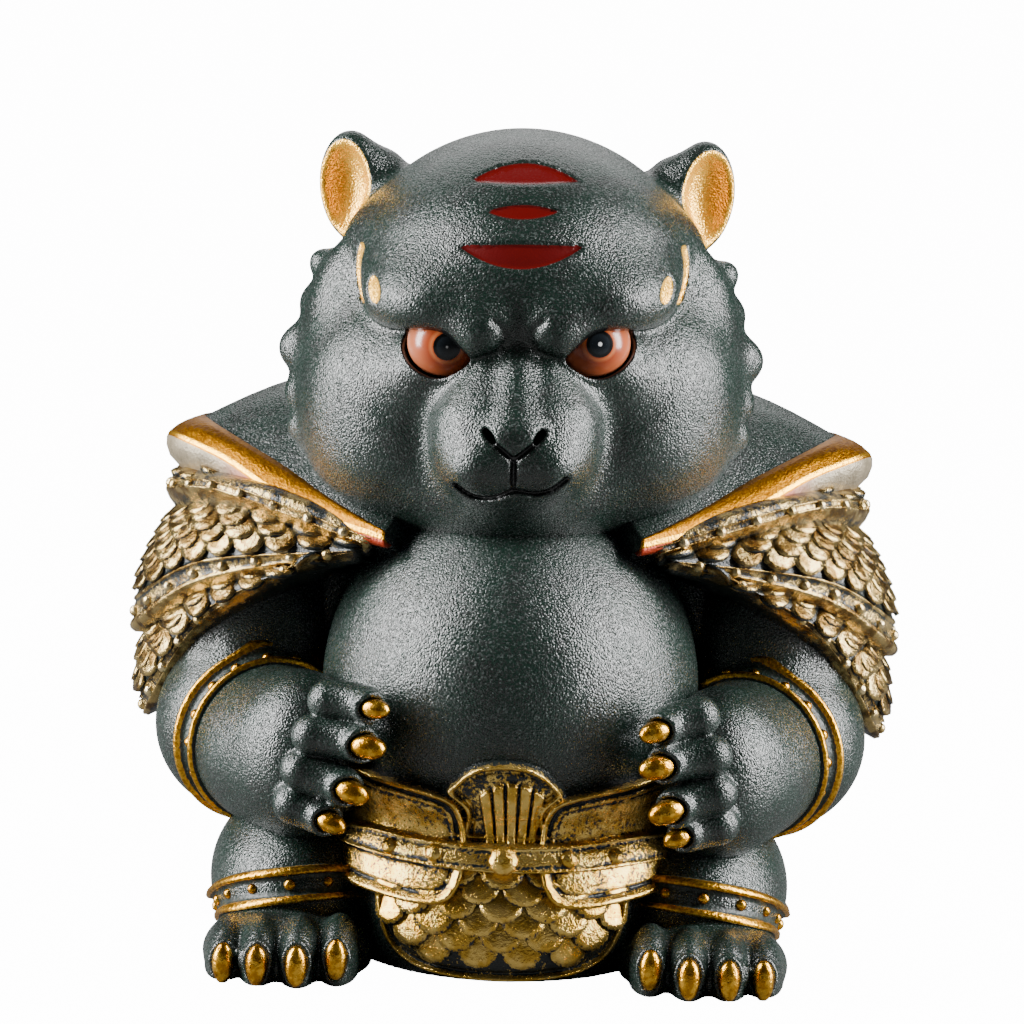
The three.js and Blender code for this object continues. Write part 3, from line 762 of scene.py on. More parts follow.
gilding, tree, shader = new_material("bright_gilding")
place = place_on(tree)
smears = rising(tree, noise(tree, place, 1.1, 3.0, 0.6), 0.42, 0.6)
pores = rising(tree, noise(tree, place, 0.35), 0.66, 0.72)
bright = blend(tree, smears, BRIGHT_GOLD_DEEP, BRIGHT_GOLD)
feed(tree, shader, {
    "Base Color": blend(tree, pores, bright, BLACK), "Metallic": 1.0,
    "Roughness": number(tree, "MULTIPLY_ADD", pores, 0.4, 0.26),
    "Normal": relief(tree, noise(tree, place, 0.5, 3.0), 0.1)})

parts = []
for side in (-1, 1):
    claws = [(place, np.array(FINGER_CLAW) * size, claw_turn(ahead))
             for place, ahead, size in finger_claws(side)]
    claws += [(place, TOE_CLAW, (0, 0, 0)) for place in toe_claws(side)]
    for place, radii, turn in claws:
        points, faces = round_mesh(place, radii, turn, 24, 16)
        if side < 0:
            points, faces = points * (-1, 1, 1), [tuple(reversed(face)) for face in faces]
        parts.append((points, faces))
points, faces = gather(parts)
dress(new_object("gilded_claws", points, faces), gilding)


# Cuffs go round the forearms and the ankles: two gilded ridges with a dark channel between them,
# and a row of gilded beads in the channel. Each bead is pressed on by itself, at an even step.
CUFF_SUNK = 1.5
CUFF_RIDGE = 1.85
HALF_CUFF = [(0.5, 0), (1.1, 0.05), (1.3, 0.3), (1.5, 0.85), (CUFF_RIDGE, 1.0), (2.2, 0.85), (2.4, 0.4),
             (2.45, -CUFF_SUNK)]
CUFF_PROFILE = [(-shift, proud) for shift, proud in reversed(HALF_CUFF)] + [(0, 0)] + HALF_CUFF
BRACELET = {"centre": (34.2, -15.5, 27.2), "axis": (-0.42, -0.9, -0.1), "skin": arm_gap(1),
            "reach": (10.9, 12.0), "taper": -0.35, "rise": 0, "slide": {-1: (0, 0, 0), 1: (0, 0, 0)},
            "beads": 16}
ANKLET = {"centre": (28.2, -18, 5.2), "axis": (0.13, 0, 1), "skin": ankle_gap, "reach": (8, 22),
          "taper": 0, "rise": 6.2, "slide": FOOT_SHIFTS, "beads": 20}
CUFF_COUNT = 120
CUFF_BEAD = 0.8


def far_to(gap, start, ways):
    """How far it is from a point to the skin round it, each way."""
    far = np.full(len(ways), 40.0)
    for _ in range(60):
        far -= gap(start + ways * far[:, None]) * 0.8
    return far


def cuff_rings(band, profile, side):
    """Rings of points round a cuff, from its profile of shifts across it and heights over the skin."""
    axis = np.array(band["axis"], float)
    axis /= np.linalg.norm(axis)
    across = np.cross((0, 0, 1), axis)
    across /= np.linalg.norm(across)
    turns = 2 * np.pi * np.arange(CUFF_COUNT) / CUFF_COUNT
    ways = np.cos(turns)[:, None] * across + np.sin(turns)[:, None] * np.cross(axis, across)
    rings = []
    rise = band["rise"] * np.maximum(-ways[:, 1], 0) ** 1.5
    for shift, proud in profile:
        middle = np.array(band["centre"]) + axis * shift + rise[:, None] * (0, 0, 1)
        low, high = (limit + band["taper"] * shift for limit in band["reach"])
        far = np.clip(far_to(band["skin"], middle, ways), low, high)
        rings.append((middle + ways * (far + proud)[:, None] + band["slide"][side]) * (side, 1, 1))
    return np.array(rings), ways * (side, 1, 1)


def loft(rings, round_again=False):
    """A closed skin over rings of points, facing outwards. It goes round to its first ring again, or
    has a face over each end."""
    count, size = rings.shape[:2]
    faces = []
    for i in range(count if round_again else count - 1):
        a, b = i * size, ((i + 1) % count) * size
        for j in range(size):
            k = (j + 1) % size
            faces.append((a + j, a + k, b + k, b + j))
    if not round_again:
        faces.append(tuple(range(size - 1, -1, -1)))
        faces.append(tuple(range((count - 1) * size, count * size)))
    points = rings.reshape(-1, 3)
    room = 0.0
    for face in faces:
        a = points[face[0]]
        for i in range(1, len(face) - 1):
            room += np.dot(a, np.cross(points[face[i]], points[face[i + 1]]))
    return points, faces if room > 0 else [tuple(reversed(face)) for face in faces]


def new_geometry(name, inputs):
    """A geometry tree with named inputs."""
    tree = bpy.data.node_groups.new(name, "GeometryNodeTree")
    tree.interface.new_socket("Geometry", in_out="INPUT", socket_type="NodeSocketGeometry")
    for socket, kind in inputs:
        tree.interface.new_socket(socket, in_out="INPUT", socket_type=kind)
    tree.interface.new_socket("Geometry", in_out="OUTPUT", socket_type="NodeSocketGeometry")
    return tree, tree.nodes.new("NodeGroupInput").outputs


def guided(tree, name, kind):
    """A value of the guide's points, in a geometry tree."""
    found = add_node(tree, "GeometryNodeInputNamedAttribute", {"Name": name}, data_type=kind)
    return found.outputs["Attribute"]


def triple(tree, x, y, z):
    """Three numbers in one, in a geometry tree."""
    return add_node(tree, "ShaderNodeCombineXYZ", {"X": x, "Y": y, "Z": z}).outputs["Vector"]


def changed(tree, kind, shape, inputs, **settings):
    """A shape after one more step of a geometry tree."""
    return add_node(tree, kind, {"Geometry": shape, **inputs}, **settings).outputs["Geometry"]


def mark_raised(tree, shape, value):
    """The shape with a value on its points that tells how well gold takes."""
    return changed(tree, "GeometryNodeStoreNamedAttribute", shape, {"Name": "raised", "Value": value},
                   data_type="FLOAT", domain="POINT")


def finish_geometry(tree, given, shape):
    """Set the shape on every point of the guide, with its face outward and its tip ahead."""
    size = guided(tree, "size", "FLOAT")
    turn = add_node(tree, "FunctionNodeAxesToRotation", {
        "Primary Axis": guided(tree, "outward", "FLOAT_VECTOR"),
        "Secondary Axis": guided(tree, "tipward", "FLOAT_VECTOR")}, primary_axis="Z", secondary_axis="Y")
    uneven = add_node(tree, "FunctionNodeRandomValue", {"Min": 0.93, "Max": 1.07, "Seed": given["Seed"]},
                      data_type="FLOAT")
    smooth = changed(tree, "GeometryNodeSetShadeSmooth", shape, {})
    placed = add_node(tree, "GeometryNodeInstanceOnPoints", {
        "Points": given["Geometry"], "Instance": smooth, "Rotation": turn.outputs["Rotation"],
        "Scale": number(tree, "MULTIPLY", size, uneven.outputs["Value"])})
    real = changed(tree, "GeometryNodeRealizeInstances", placed.outputs["Instances"], {})
    dressed = changed(tree, "GeometryNodeSetMaterial", real, {"Material": given["Material"]})
    tree.links.new(dressed, tree.nodes.new("NodeGroupOutput").inputs["Geometry"])


tree, given = new_geometry("bead_rows", [
    ("Radius", "NodeSocketFloat"), ("Flatness", "NodeSocketFloat"), ("Seed", "NodeSocketInt"),
    ("Material", "NodeSocketMaterial")])
bead = add_node(tree, "GeometryNodeMeshUVSphere", {"Segments": 10, "Rings": 6, "Radius": given["Radius"]})
bead = changed(tree, "GeometryNodeTransform", bead.outputs["Mesh"],
               {"Scale": triple(tree, 1.0, 1.0, given["Flatness"])})
finish_geometry(tree, given, mark_raised(tree, bead, 0.9))
bead_rows = tree


def grow(name, geometry, places, outwards, tipwards, sizes, **values):
    """A piece grown by a geometry tree on guide points that are given in millimetres."""
    mesh = bpy.data.meshes.new(name)
    mesh.from_pydata((np.asarray(places) * MM).tolist(), [], [])
    piece = bpy.data.objects.new(name, mesh)
    bpy.context.scene.collection.objects.link(piece)
    for key, ways in (("outward", outwards), ("tipward", tipwards)):
        layer = mesh.attributes.new(key, "FLOAT_VECTOR", "POINT")
        layer.data.foreach_set("vector", np.asarray(ways, np.float32).ravel())
    paint(piece, "size", sizes)
    modifier = piece.modifiers.new("grow", "NODES")
    modifier.node_group = geometry
    for item in geometry.interface.items_tree:
        if item.in_out == "INPUT" and item.name in values:
            modifier[item.identifier] = values[item.name]
    grown = bpy.data.meshes.new_from_object(piece.evaluated_get(bpy.context.evaluated_depsgraph_get()))
    piece.modifiers.remove(modifier)
    piece.data = grown
    bpy.data.meshes.remove(mesh)
    return piece


cuff_paint, tree, shader = new_material("cuff_paint")
grain = add_group(tree, clay_grain)
place = place_on(tree)
takes = number(tree, "MULTIPLY_ADD", noise(tree, place, 0.6, 3.0), 0.4, reading(tree, "raised"))
ridge_gold = rising(tree, takes, 0.6, 0.75)
hammered = noise(tree, place, 0.5, 3.0)
bright = blend(tree, rising(tree, hammered, 0.4, 0.6), BRIGHT_GOLD_DEEP, BRIGHT_GOLD)
feed(tree, shader, {
    "Base Color": blend(tree, ridge_gold, grain["Colour"], bright), "Metallic": ridge_gold,
    "Roughness": number(tree, "MULTIPLY_ADD", ridge_gold, -0.12, 0.42),
    "Normal": relief(tree, hammered, 0.15)})

parts, heights, places, outs = [], [], [], []
for side in (-1, 1):
    for band in (BRACELET, ANKLET):
        rings, ways = cuff_rings(band, CUFF_PROFILE, side)
        parts.append(loft(rings, round_again=True))
        heights.append(np.repeat([proud for _, proud in CUFF_PROFILE], CUFF_COUNT))
        at = (np.arange(band["beads"]) * CUFF_COUNT / band["beads"]).astype(int)
        places.append(rings[len(CUFF_PROFILE) // 2][at])
        outs.append(ways[at])
points, faces = gather(parts)
cuffs = new_object("cuffs", points, faces)
paint(cuffs, "raised", np.concatenate(heights))
dress(cuffs, cuff_paint)
places, outs = np.concatenate(places), np.concatenate(outs)
beads = grow("cuff_beads", bead_rows, places, outs, np.tile((0.1, 0.2, 1.0), (len(places), 1)),
             np.ones(len(places)), Radius=CUFF_BEAD * MM, Flatness=0.8, Seed=3, Material=gilding)
dress(beads)


# The mantle lies on the shoulders like a wide collar of clay, open in front and with a point at
# each side.
NECK_LINE = [(13, -20, 61), (17, -15, 67), (20, -9, 71.5), (22, -3, 74.5), (23, 4, 76.3), (22.5, 10, 77),
             (18, 17, 77), (10, 21, 76), (0, 22.5, 75.5)]
EDGE_LINE = [(17.4, -29.6, 58.8), (25.3, -23, 62), (32.1, -16, 65.2), (38.1, -10, 67.6), (43.6, -3, 69.6),
             (44.2, 4.5, 69.4), (37.5, 17.5, 68), (21, 28.5, 64.5), (0, 32.6, 62.6)]
RIDGE_LINE = [(17.4, -30.4, 58.2), (25.2, -25.2, 59.7), (33.3, -19, 62.4), (40.6, -11.8, 65.7),
              (47.9, -4.6, 67.7), (48.8, 4.5, 66.8), (41, 19.5, 66), (23, 31, 62.2), (0, 35.4, 60.2)]
HEM_LINE = [(16.4, -28.5, 57), (23.6, -23.5, 57.4), (31, -17.2, 58.2), (38, -9.5, 59.2), (45.6, -3, 61.4),
            (46, 4, 61.2), (38.5, 18, 58.4), (22, 29, 54.5), (0, 33.4, 52.6)]
MANTLE_ROOT = 48.0
MANTLE_COUNT = 16
MANTLE_SWELL = 1.2


def whole_line(line):
    """A line of the right half and its mirror image, as one curve round the back."""
    half = curve(line, MANTLE_COUNT)
    return np.concatenate([half, half[-2::-1] * (-1, 1, 1)])


neck, edge, ridge, hem = (whole_line(line) for line in (NECK_LINE, EDGE_LINE, RIDGE_LINE, HEM_LINE))
root = neck * (0.8, 0.8, 0)
root[:, 2] = MANTLE_ROOT
slope = [neck + (edge - neck) * t + (0, 0, MANTLE_SWELL * math.sin(math.pi * t))
         for t in np.linspace(0, 1, 8)]
rings = np.array([root, *slope, ridge * 0.5 + edge * 0.5, ridge, (ridge + hem) / 2, hem]).transpose(1, 0, 2)
dress(new_object("mantle", *loft(rings)), clay)

# A gilded trim follows the mantle's edge: a flat band on top, a bright ridge, and a wall below,
# which is cream at the points and turns to a red line in front, where shade on the gold is painted in.
BAND_GOLD = (0.40, 0.165, 0.001, 1)
BAND_DEEP = (0.24, 0.085, 0.001, 1)
WALL_CREAM = (0.30, 0.25, 0.17, 1)
WALL_SHADE = (0.20, 0.165, 0.11, 1)
WALL_RED_PAINTED_SHADE = (0.30, 0.025, 0.002, 1)
TRIM_PROFILE = [
    # share of the way from edge to ridge, share of the way from ridge to hem, out, up, ridge, wall
    (-0.02, 0, 0, -0.6, 0, 0), (-0.02, 0, 0, 0.35, 0, 0), (0.25, 0, 0, 0.6, 0, 0), (0.5, 0, 0, 0.75, 0, 0),
    (0.75, 0, 0, 0.7, 0, 0), (1, 0, -0.4, 0.42, 0, 0), (1, 0, -0.2, 0.4, 1, 0), (1, 0, 0.0, 0.3, 1, 0),
    (1, 0, 0.15, 0.1, 1, 0), (1, 0.04, 0.5, 0, 0, 1), (1, 0.2, 1.0, 0, 0, 1), (1, 0.45, 1.15, 0, 0, 1),
    (1, 0.75, 0.5, 0, 0, 1), (1, 1, -0.2, 0, 0, 1), (1, 1, -1.2, 0, 0, 1), (1, 0, -1.2, -0.8, 0, 0)]

out = unit(ridge - edge)
rings = np.array([edge + (ridge - edge) * over + (hem - ridge) * down + out * side + (0, 0, up)
                  for over, down, side, up, _, _ in TRIM_PROFILE]).transpose(1, 0, 2)
trim = new_object("mantle_trim", *loft(rings))
paint(trim, "ridge", np.tile([row[4] for row in TRIM_PROFILE], len(rings)))
paint(trim, "wall", np.tile([row[5] for row in TRIM_PROFILE], len(rings)))

trim_paint, tree, shader = new_material("mantle_trim")
place = place_on(tree)
ridge_share = rising(tree, reading(tree, "ridge"), 0.75, 0.95)
wall_share = rising(tree, reading(tree, "wall"), 0.4, 0.7)
ahead = add_node(tree, "ShaderNodeSeparateXYZ", {0: place}).outputs["Y"]
# The front of the wall, where the gold lies in shade, is painted a darker red: painted shade. Further back it
# is cream.
cream = rising(tree, ahead, -18 * MM, -10 * MM)
band = blend(tree, rising(tree, noise(tree, place, 0.7, 4.0, 0.7), 0.35, 0.65), BAND_DEEP, BAND_GOLD)
smoky = blend(tree, rising(tree, noise(tree, place, 2.2, 3.0, 0.6), 0.4, 0.7), WALL_CREAM, WALL_SHADE)
tone = blend(tree, wall_share, band, blend(tree, cream, WALL_RED_PAINTED_SHADE, smoky))
tone = blend(tree, ridge_share, tone, GOLD)
feed(tree, shader, {
    "Base Color": tone, "Metallic": number(tree, "MULTIPLY_ADD", wall_share, -0.6, 1.0),
    "Roughness": number(tree, "MULTIPLY_ADD", ridge_share, -0.1, 0.4),
    "Normal": relief(tree, noise(tree, place, 0.35, 3.0), 0.12)})
dress(trim, trim_paint)


# Three lames of scale armour lie over each shoulder, fanned out from the chest and the back. Each
# is a curved plate with a border between two ridges, rows of small scales above it, and beads on
# the border. Pale gold is rubbed over the dark clay, so that it takes only on what stands out.
LAME_LINES = [
    [(17, -27, 60), (33, -20, 65), (44, 0, 66), (33, 20, 64), (17, 27, 60)],
    [(20, -29, 57), (41, -16, 61.5), (49.4, 0, 59), (41, 17, 60), (20, 28, 57)],
    [(22, -28.4, 55.8), (43, -16, 48.8), (54, 0, 39.2), (43, 18, 47), (22, 28, 54)],
    [(29, -25, 54), (43.4, -14.5, 42.6), (51.8, 0, 27), (44, 16, 41), (30, 25.5, 51)],
]
LAME_ROOT = [(18, -12, 52), (34, 0, 46), (18, 14, 52)]
LAME_TUCK = 0.88
LAME_LIP = 2.4
LAME_SWELL = 1.6
LAME_COUNT = 96
LAME_PROFILE = [
    # share of the way down, height, gold
    (0, 0, 0), (0.1, 0, 0), (0.2, 0, 0), (0.3, 0, 0), (0.4, 0, 0), (0.5, 0, 0), (0.6, 0, 0), (0.68, 0, 0.1),
    (0.72, 0.1, 0.2), (0.735, 0.4, 0.9), (0.75, 0.4, 0.9), (0.765, 0.1, 0.2), (0.80, 0.0, 0.42),
    (0.87, 0.0, 0.42), (0.90, 0.05, 0.3), (0.925, 0.4, 1), (0.95, 0.5, 1), (0.975, 0.4, 0.7), (1.0, 0.1, 0.6)]
BORDER = 0.70
ROW_PITCH = 1.95
ROW_COUNT = 7
STEP_PITCH = 5.0
LAME_BEAD = 0.85
BEAD_PITCH = 5.8
BEAD_LINE = 0.85
RUBBED_GOLD = (0.54, 0.39, 0.15, 1)
RUBBED_WARM = (0.15, 0.085, 0.020, 1)
BEAD_GOLD = (0.80, 0.64, 0.34, 1)
RUBBED_CLAY = (0.012, 0.016, 0.015, 1)


def smooth_line(line, shares):
    """Points of a smooth curve through a line, at shares from 0 to 1 of its steps."""
    fine = curve(line, 40)
    at = np.clip(shares, 0, 1) * (len(fine) - 1)
    low = np.minimum(at.astype(int), len(fine) - 2)
    return fine[low] + (fine[low + 1] - fine[low]) * (at - low)[:, None]


def lame_points(line, along, down, proud):
    """Points of a lame: along from chest to back, and down from its top to its rim."""
    down = np.broadcast_to(down, along.shape)
    root = smooth_line(LAME_ROOT, along)
    top = root + (smooth_line(LAME_LINES[line - 1], along) - root) * LAME_TUCK
    p = top + (smooth_line(LAME_LINES[line], along) - top) * down[:, None]
    return p + unit(p - root) * (LAME_SWELL * np.sin(np.pi * down) + proud)[:, None]


def even_shares(line, down, pitch, start):
    """Shares of the way along a lame that lie an even pitch apart."""
    along = np.linspace(0, 1, 200)
    points = lame_points(line, along, down, 0)
    reach = reach_along(points)
    return np.interp(np.arange(start * pitch, reach[-1] - 0.5 * pitch, pitch), reach, along)


def lame_frame(line, along, down, proud):
    """Points of a lame with the ways outward and down the plate."""
    here = lame_points(line, along, down, proud)
    tip = lame_points(line, along, down + 0.03, proud) - here
    side = lame_points(line, along + 0.01, down, proud) - lame_points(line, along - 0.01, down, proud)
    out = unit(np.cross(side, tip))
    away = (here - smooth_line(LAME_ROOT, along)) * out
    return here, out * np.sign(away.sum(1))[:, None], unit(tip)


tree, given, result = new_group(
    "rubbed_gold",
    [("Place", "NodeSocketVector", None), ("Raised", "NodeSocketFloat", 1.0),
     ("Clay", "NodeSocketColor", RUBBED_CLAY), ("Gold", "NodeSocketColor", RUBBED_GOLD),
     ("Warm", "NodeSocketColor", RUBBED_WARM), ("Wear", "NodeSocketFloat", 0.9)],
    [("Colour", "NodeSocketColor"), ("Share", "NodeSocketFloat"), ("Roughness", "NodeSocketFloat"),
     ("Height", "NodeSocketFloat")])
pits = noise(tree, given["Place"], 0.5, 3.0, 0.65)
broad = noise(tree, given["Place"], 2.4, 2.0)
worn = number(tree, "MULTIPLY", number(tree, "SUBTRACT", pits, 0.5), given["Wear"])
worn = number(tree, "ADD", worn, number(tree, "MULTIPLY_ADD", broad, 0.8, -0.4))
took = rising(tree, number(tree, "ADD", given["Raised"], worn), 0.3, 0.5)
leaf = blend(tree, rising(tree, broad, 0.4, 0.6), given["Warm"], given["Gold"])
feed(tree, result, {
    "Colour": blend(tree, took, given["Clay"], leaf), "Share": took, "Height": pits,
    "Roughness": number(tree, "MULTIPLY_ADD", pits, 0.26, 0.09)})
rubbed_gold = tree


def rubbed_material(name, wear, gold, warm):
    """Gold rubbed over the clay, on what the piece's painted value calls raised."""
    material, tree, shader = new_material(name)
    rub = add_group(tree, rubbed_gold, Raised=reading(tree, "raised"), Wear=wear, Gold=gold, Warm=warm)
    feed(tree, shader, {
        "Base Color": rub["Colour"], "Metallic": number(tree, "MULTIPLY", rub["Share"], 0.9),
        "Roughness": rub["Roughness"], "Normal": relief(tree, rub["Height"], 0.16)})
    return material


lame_paint = rubbed_material("lame_gold", 1.0, RUBBED_GOLD, RUBBED_WARM)
bead_paint = rubbed_material("bead_gold", 0.4, BEAD_GOLD, RUBBED_GOLD)

tree, given = new_geometry("scale_rows", [
    ("Length", "NodeSocketFloat"), ("Width", "NodeSocketFloat"), ("Thickness", "NodeSocketFloat"),
    ("Lift", "NodeSocketFloat"), ("Rim", "NodeSocketFloat"), ("Seed", "NodeSocketInt"),
    ("Material", "NodeSocketMaterial")])
blank = add_node(tree, "GeometryNodeMeshUVSphere", {"Segments": 12, "Rings": 5, "Radius": 0.5})
at = add_node(tree, "GeometryNodeInputPosition", {}).outputs["Position"]
at = add_node(tree, "ShaderNodeSeparateXYZ", {0: at}).outputs
thick = number(tree, "MULTIPLY", at["Z"], 1.6)
flat = add_node(tree, "ShaderNodeClamp", {"Value": thick, "Min": -0.32, "Max": 0.32}).outputs["Result"]
marked = mark_raised(tree, blank.outputs["Mesh"], number(tree, "MULTIPLY_ADD", at["Z"], 2.4, given["Rim"]))
disc = changed(tree, "GeometryNodeSetPosition", marked, {"Position": triple(tree, at["X"], at["Y"], flat)})
shaped = changed(tree, "GeometryNodeTransform", disc, {
    "Rotation": triple(tree, given["Lift"], 0.0, 0.0),
    "Scale": triple(tree, given["Width"], given["Length"], given["Thickness"])})
finish_geometry(tree, given, shaped)
scale_rows = tree


def spread_guides(guides, side, here, out, tip):
    """Add guide points for scales or beads of one side."""
    mirror = (side, 1, 1)
    guides.append((here * mirror, out * mirror, tip * mirror, np.ones(len(here))))


def grow_all(name, geometry, guides, **values):
    """A piece grown on all the guide points of a list."""
    return grow(name, geometry, *(np.concatenate(some) for some in zip(*guides)), **values)


along = np.linspace(0, 1, LAME_COUNT + 1)
lames, gold = [], []
scale_guides, bead_guides = [], []
for side in (-1, 1):
    mirror = (side, 1, 1)
    for line in (1, 2, 3):
        rings = [smooth_line(LAME_ROOT, along)]
        rings += [lame_points(line, along, down, proud) for down, proud, _ in LAME_PROFILE]
        rim = rings[-1]
        inward = unit(rings[0] - rim)
        rings.append(rim + inward * 0.5 + (0, 0, -0.5))
        rings.append(rim + inward * LAME_LIP + (0, 0, -LAME_LIP / 2))
        lames.append(loft(np.array(rings).transpose(1, 0, 2) * mirror))
        bare = 0.4 * (line == 1)
        gold.append(np.tile([0, *(max(row[2], bare) for row in LAME_PROFILE), 0.5, 0], len(along)))
        for row in range(ROW_COUNT):
            steps = even_shares(line, BORDER, STEP_PITCH, 0.5 + 0.5 * (row % 2))
            tall = np.linalg.norm(lame_points(line, steps, 1.0, 0) - lame_points(line, steps, 0.0, 0), axis=1)
            down = BORDER - (row + 0.9) * ROW_PITCH / tall
            free = (down > 0.02) & ((line > 1) | (steps > 0.36))
            steps, down = steps[free], down[free]
            spread_guides(scale_guides, side, *lame_frame(line, steps, down, 0.1 if line > 1 else -0.2))
        steps = even_shares(line, BEAD_LINE, BEAD_PITCH, 0.7)
        spread_guides(bead_guides, side, *lame_frame(line, steps, BEAD_LINE, 0.1))
points, faces = gather(lames)
lame_plates = new_object("shoulder_lames", points, faces)
paint(lame_plates, "raised", np.concatenate(gold))
dress(lame_plates, lame_paint)
scales = grow_all("lame_scales", scale_rows, scale_guides, Width=5.2 * MM, Length=4.3 * MM,
                  Thickness=1.3 * MM, Lift=math.radians(18), Rim=0.25, Seed=5, Material=lame_paint)
dress(scales)
beads = grow_all("lame_beads", bead_rows, bead_guides, Radius=LAME_BEAD * MM, Flatness=0.9, Seed=7,
                 Material=bead_paint)
dress(beads)


# The armour on the belly is one sheet of relief that follows the trunk: a scaled apron with a
# rim, a belt with studs, two lappets at each side and a ribbed fan above. It is gilded like the
# lames, in a warmer gold. Its scales overlap like a fish's, each row half a scale off the last.
def outline(points, count=6):
    """A closed smooth outline, seen from the front, as how far a point is outside it."""
    points = np.array(points, float)
    smooth = np.array(bends(np.concatenate([points[-1:], points, points[:2]]), count))

    def gap(x, z):
        best = np.full(len(x), 1e9)
        inside = np.zeros(len(x), bool)
        for (ax, az), (bx, bz) in zip(smooth, np.roll(smooth, -1, axis=0)):
            dx, dz = bx - ax, bz - az
            share = np.clip(((x - ax) * dx + (z - az) * dz) / (dx * dx + dz * dz + 1e-12), 0, 1)
            best = np.minimum(best, (x - ax - share * dx) ** 2 + (z - az - share * dz) ** 2)
            crosses = (az > z) != (bz > z)
            inside ^= crosses & (x < dx * (z - az) / (bz - az + 1e-12) + ax)
        return np.where(inside, -1, 1) * np.sqrt(best)
    return gap


BELT = outline([
    (24, 18.4), (18, 19.9), (10, 19.7), (0, 19.5), (-10, 19.7), (-18, 19.9), (-24, 18.6), (-24, 16.6),
    (-17.3, 16.3), (-11.4, 16.1), (-5.5, 15.9), (0, 15.8), (6.2, 15.8), (12, 15.8), (18, 15.8), (24, 15.6)])
APRON_SIDE = [(17, 20), (17.3, 14.4), (17.2, 9.8), (16.5, 7), (15.5, 4.6), (13.6, 2.6), (10.5, 1.2), (6, 0.6)]
APRON = outline(APRON_SIDE + [(0, 0.4)] + [(-x, z) for x, z in reversed(APRON_SIDE)])
UPPER_LAPPET = outline([
    (4.8, 17.5), (4.8, 19.8), (5.1, 21.9), (5.8, 24), (7.2, 25.5), (9.6, 26.3), (13, 26.9), (17, 27.4),
    (22, 27.8), (24, 24), (24, 17.5), (12, 17)])
LOWER_LAPPET = outline([
    (4.8, 17.5), (5.0, 15.6), (5.6, 13.6), (6.9, 11.7), (9, 10.8), (12.2, 10.6), (16.6, 10.9), (21, 11.3),
    (24.4, 12.2), (24.4, 17.5), (14, 18)])
FAN = outline([
    (0, 30.9), (2.9, 30.6), (5.2, 29.6), (6.9, 28.0), (8.0, 26.2), (5.6, 23.6), (5.2, 18.5), (-4.8, 18.5),
    (-5.2, 23.6), (-7.8, 26.2), (-6.5, 28), (-4.9, 29.6), (-2.7, 30.6)])
RIB_MIDDLE = 1.1
RIBS_ASIDE = 2.5
SCALE_PITCH = 2.15
SCALE_WIDTH = 6.0
TOP_SCALE = 13.9
SCALE_ROW_COUNT = 8
BELT_STUDS = [(-15.4, 17.9, 1.2), (-9.2, 18.0, 1.3), (0.2, 17.6, 2.0), (9.0, 17.7, 1.3), (15.3, 17.5, 1.2)]
APRON_GOLD = (0.84, 0.57, 0.15, 1)
APRON_WARM = (0.58, 0.34, 0.045, 1)
ARMOUR_VOXEL = 0.3


def plate(gap, proud, rim, rim_width, groove, second=0.0):
    """A plate with a groove and a raised rim along its outline: its height, and how well gold takes."""
    top = 1 - ease((gap + 0.3) / 0.5)
    edge = bump(gap + rim_width * 0.5, rim_width * 0.62)
    cut = bump(gap + rim_width * 1.3, 0.42)
    cut = np.maximum(cut, second * bump(gap + rim_width * 2.3, 0.34))
    height = proud * (1 - ease((gap + 0.35) / 0.7)) - 3 * ease((gap - 0.2) / 0.8) + edge * rim - cut * groove
    return height, top * (0.56 + 0.34 * edge) - cut * min(1, groove * 3)


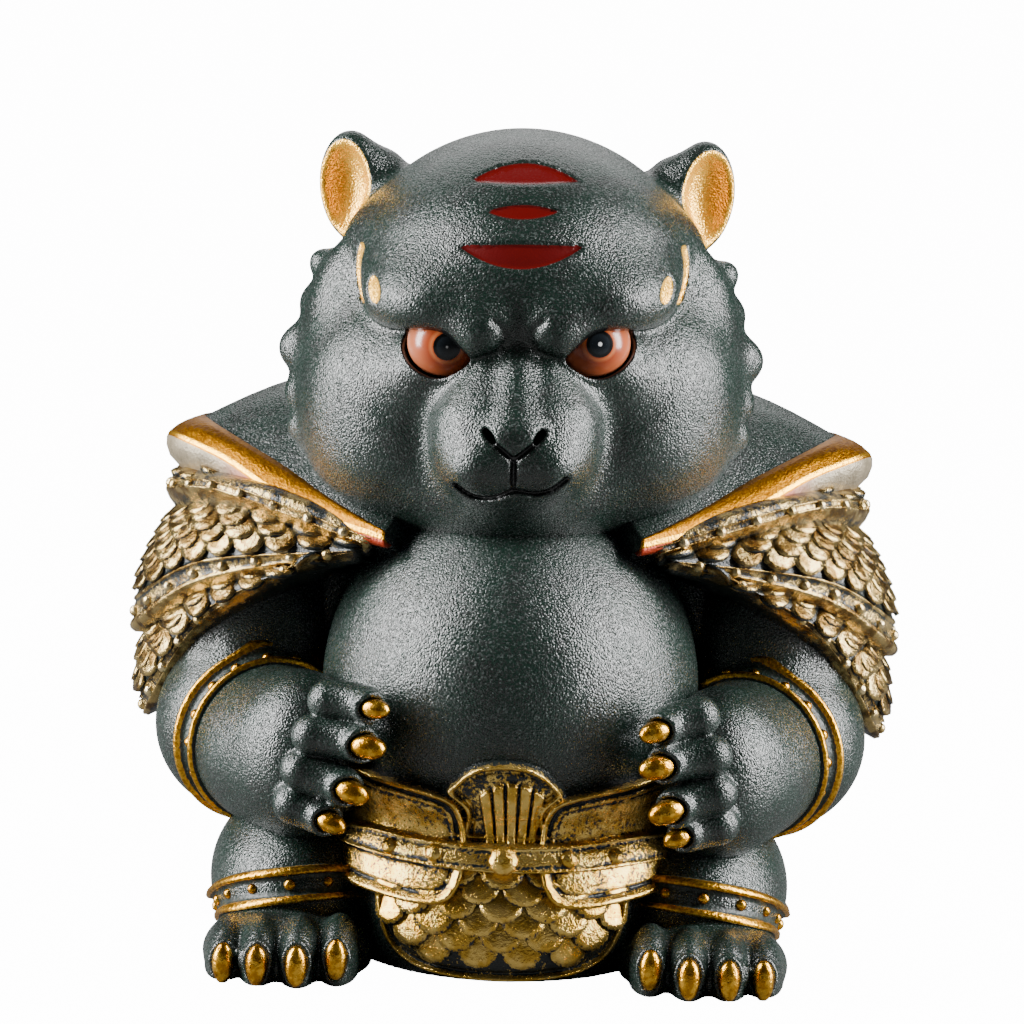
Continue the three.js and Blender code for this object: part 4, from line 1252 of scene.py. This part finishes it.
def armour_relief(x, z):
    """The sheet's height over the belly, and how well gold takes, at places seen from the front."""
    right = np.sqrt(x * x + 0.02)
    fan = FAN(x, z)
    height, gold = plate(fan, 1.5, 0.5, 0.9, 0.3)
    width = 1.4 + 0.5 * (z - 19.8) / 8
    over = (x - RIB_MIDDLE) / width
    rib = ease((0.45 - np.abs(over - np.round(over))) / 0.13)
    ribbed = ease((28.4 - 0.09 * (x - RIB_MIDDLE) ** 2 - z) / 0.7) * (np.abs(over) < RIBS_ASIDE)
    height = height + (0.8 * rib * ribbed - 0.25) * (fan < -0.9)
    gold = np.where(fan < -0.9, ribbed * 0.85 * rib + (1 - ribbed) * 0.36, gold * 0.7)
    for gap, proud, *edging in (
            (APRON(x, z), 1.0, 0.8, 1.0, 0.25), (UPPER_LAPPET(right, z), 2.0, 0.5, 1.0, 0.5, 0.45),
            (LOWER_LAPPET(right, z), 2.1, 0.55, 1.4, 0.5), (BELT(x, z), 3.0, 0.12, 0.7, 0.12)):
        over, take = plate(gap, proud, *edging)
        gold = np.where(over > height, take, gold)
        height = np.maximum(over, height)
    bed = (APRON(x, z) < -1.2) & (z < 15) & (height < 1.3)
    return height, np.where(bed, 0.1, gold)


def armour_gap(p):
    under = belly_gap(p)
    height, _ = armour_relief(p[:, 0], p[:, 2])
    sheet = (under - height) * 0.75
    sheet = -melt(-sheet, under + 1.6, 0.3)
    sheet = np.maximum(sheet, p[:, 1] + 14)
    return carve(sheet, p[:, 2] - 0.05, 0.3)


def on_belly(x, z, proud):
    """Points over the front of the belly, and the way outward there."""
    p = np.stack([x, np.full(len(x), -60.0), z], 1)
    for _ in range(80):
        p[:, 1] += (belly_gap(p) - proud) * 0.8
    out = np.stack([belly_gap(p + 0.05 * axis) - belly_gap(p - 0.05 * axis) for axis in np.eye(3)], 1)
    return p, unit(out)


apron_paint = rubbed_material("apron_gold", 1.7, APRON_GOLD, APRON_WARM)
points, quads = skin(armour_gap, (-27, -50, -1), (27, -18, 33), ARMOUR_VOXEL)
armour = new_object("belly_armour", points, quads)
paint(armour, "raised", armour_relief(points[:, 0], points[:, 2])[1])
dress(armour, apron_paint)

x, z = [], []
for row in range(SCALE_ROW_COUNT):
    for i in range(-3, 4):
        x.append(0.1 + SCALE_WIDTH * (i + 0.5 * (row % 2)))
        z.append(TOP_SCALE - SCALE_PITCH * row + 1.9)
x, z = np.array(x), np.array(z)
inside = -APRON(x, z)
kept = (inside > 1.3) & (z > 3)
places, outs = on_belly(x[kept], z[kept], 1.15)
down = np.tile((0.0, 0.0, -1.0), (len(places), 1))
sizes = np.clip((inside[kept] + 0.5) / 3, 0, 1)
scales = grow("apron_scales", scale_rows, places, outs, down, sizes, Width=SCALE_WIDTH * 1.02 * MM,
              Length=5.3 * MM, Thickness=1.0 * MM, Lift=math.radians(15), Rim=0.02, Seed=11,
              Material=apron_paint)
dress(scales)
x, z, size = np.array(BELT_STUDS).T
places, outs = on_belly(x, z, 3.0)
studs = grow("belt_studs", bead_rows, places, outs, np.tile((0.0, 0.0, 1.0), (len(x), 1)), size,
             Radius=1.0 * MM, Flatness=0.55, Seed=2, Material=apron_paint)
dress(studs)
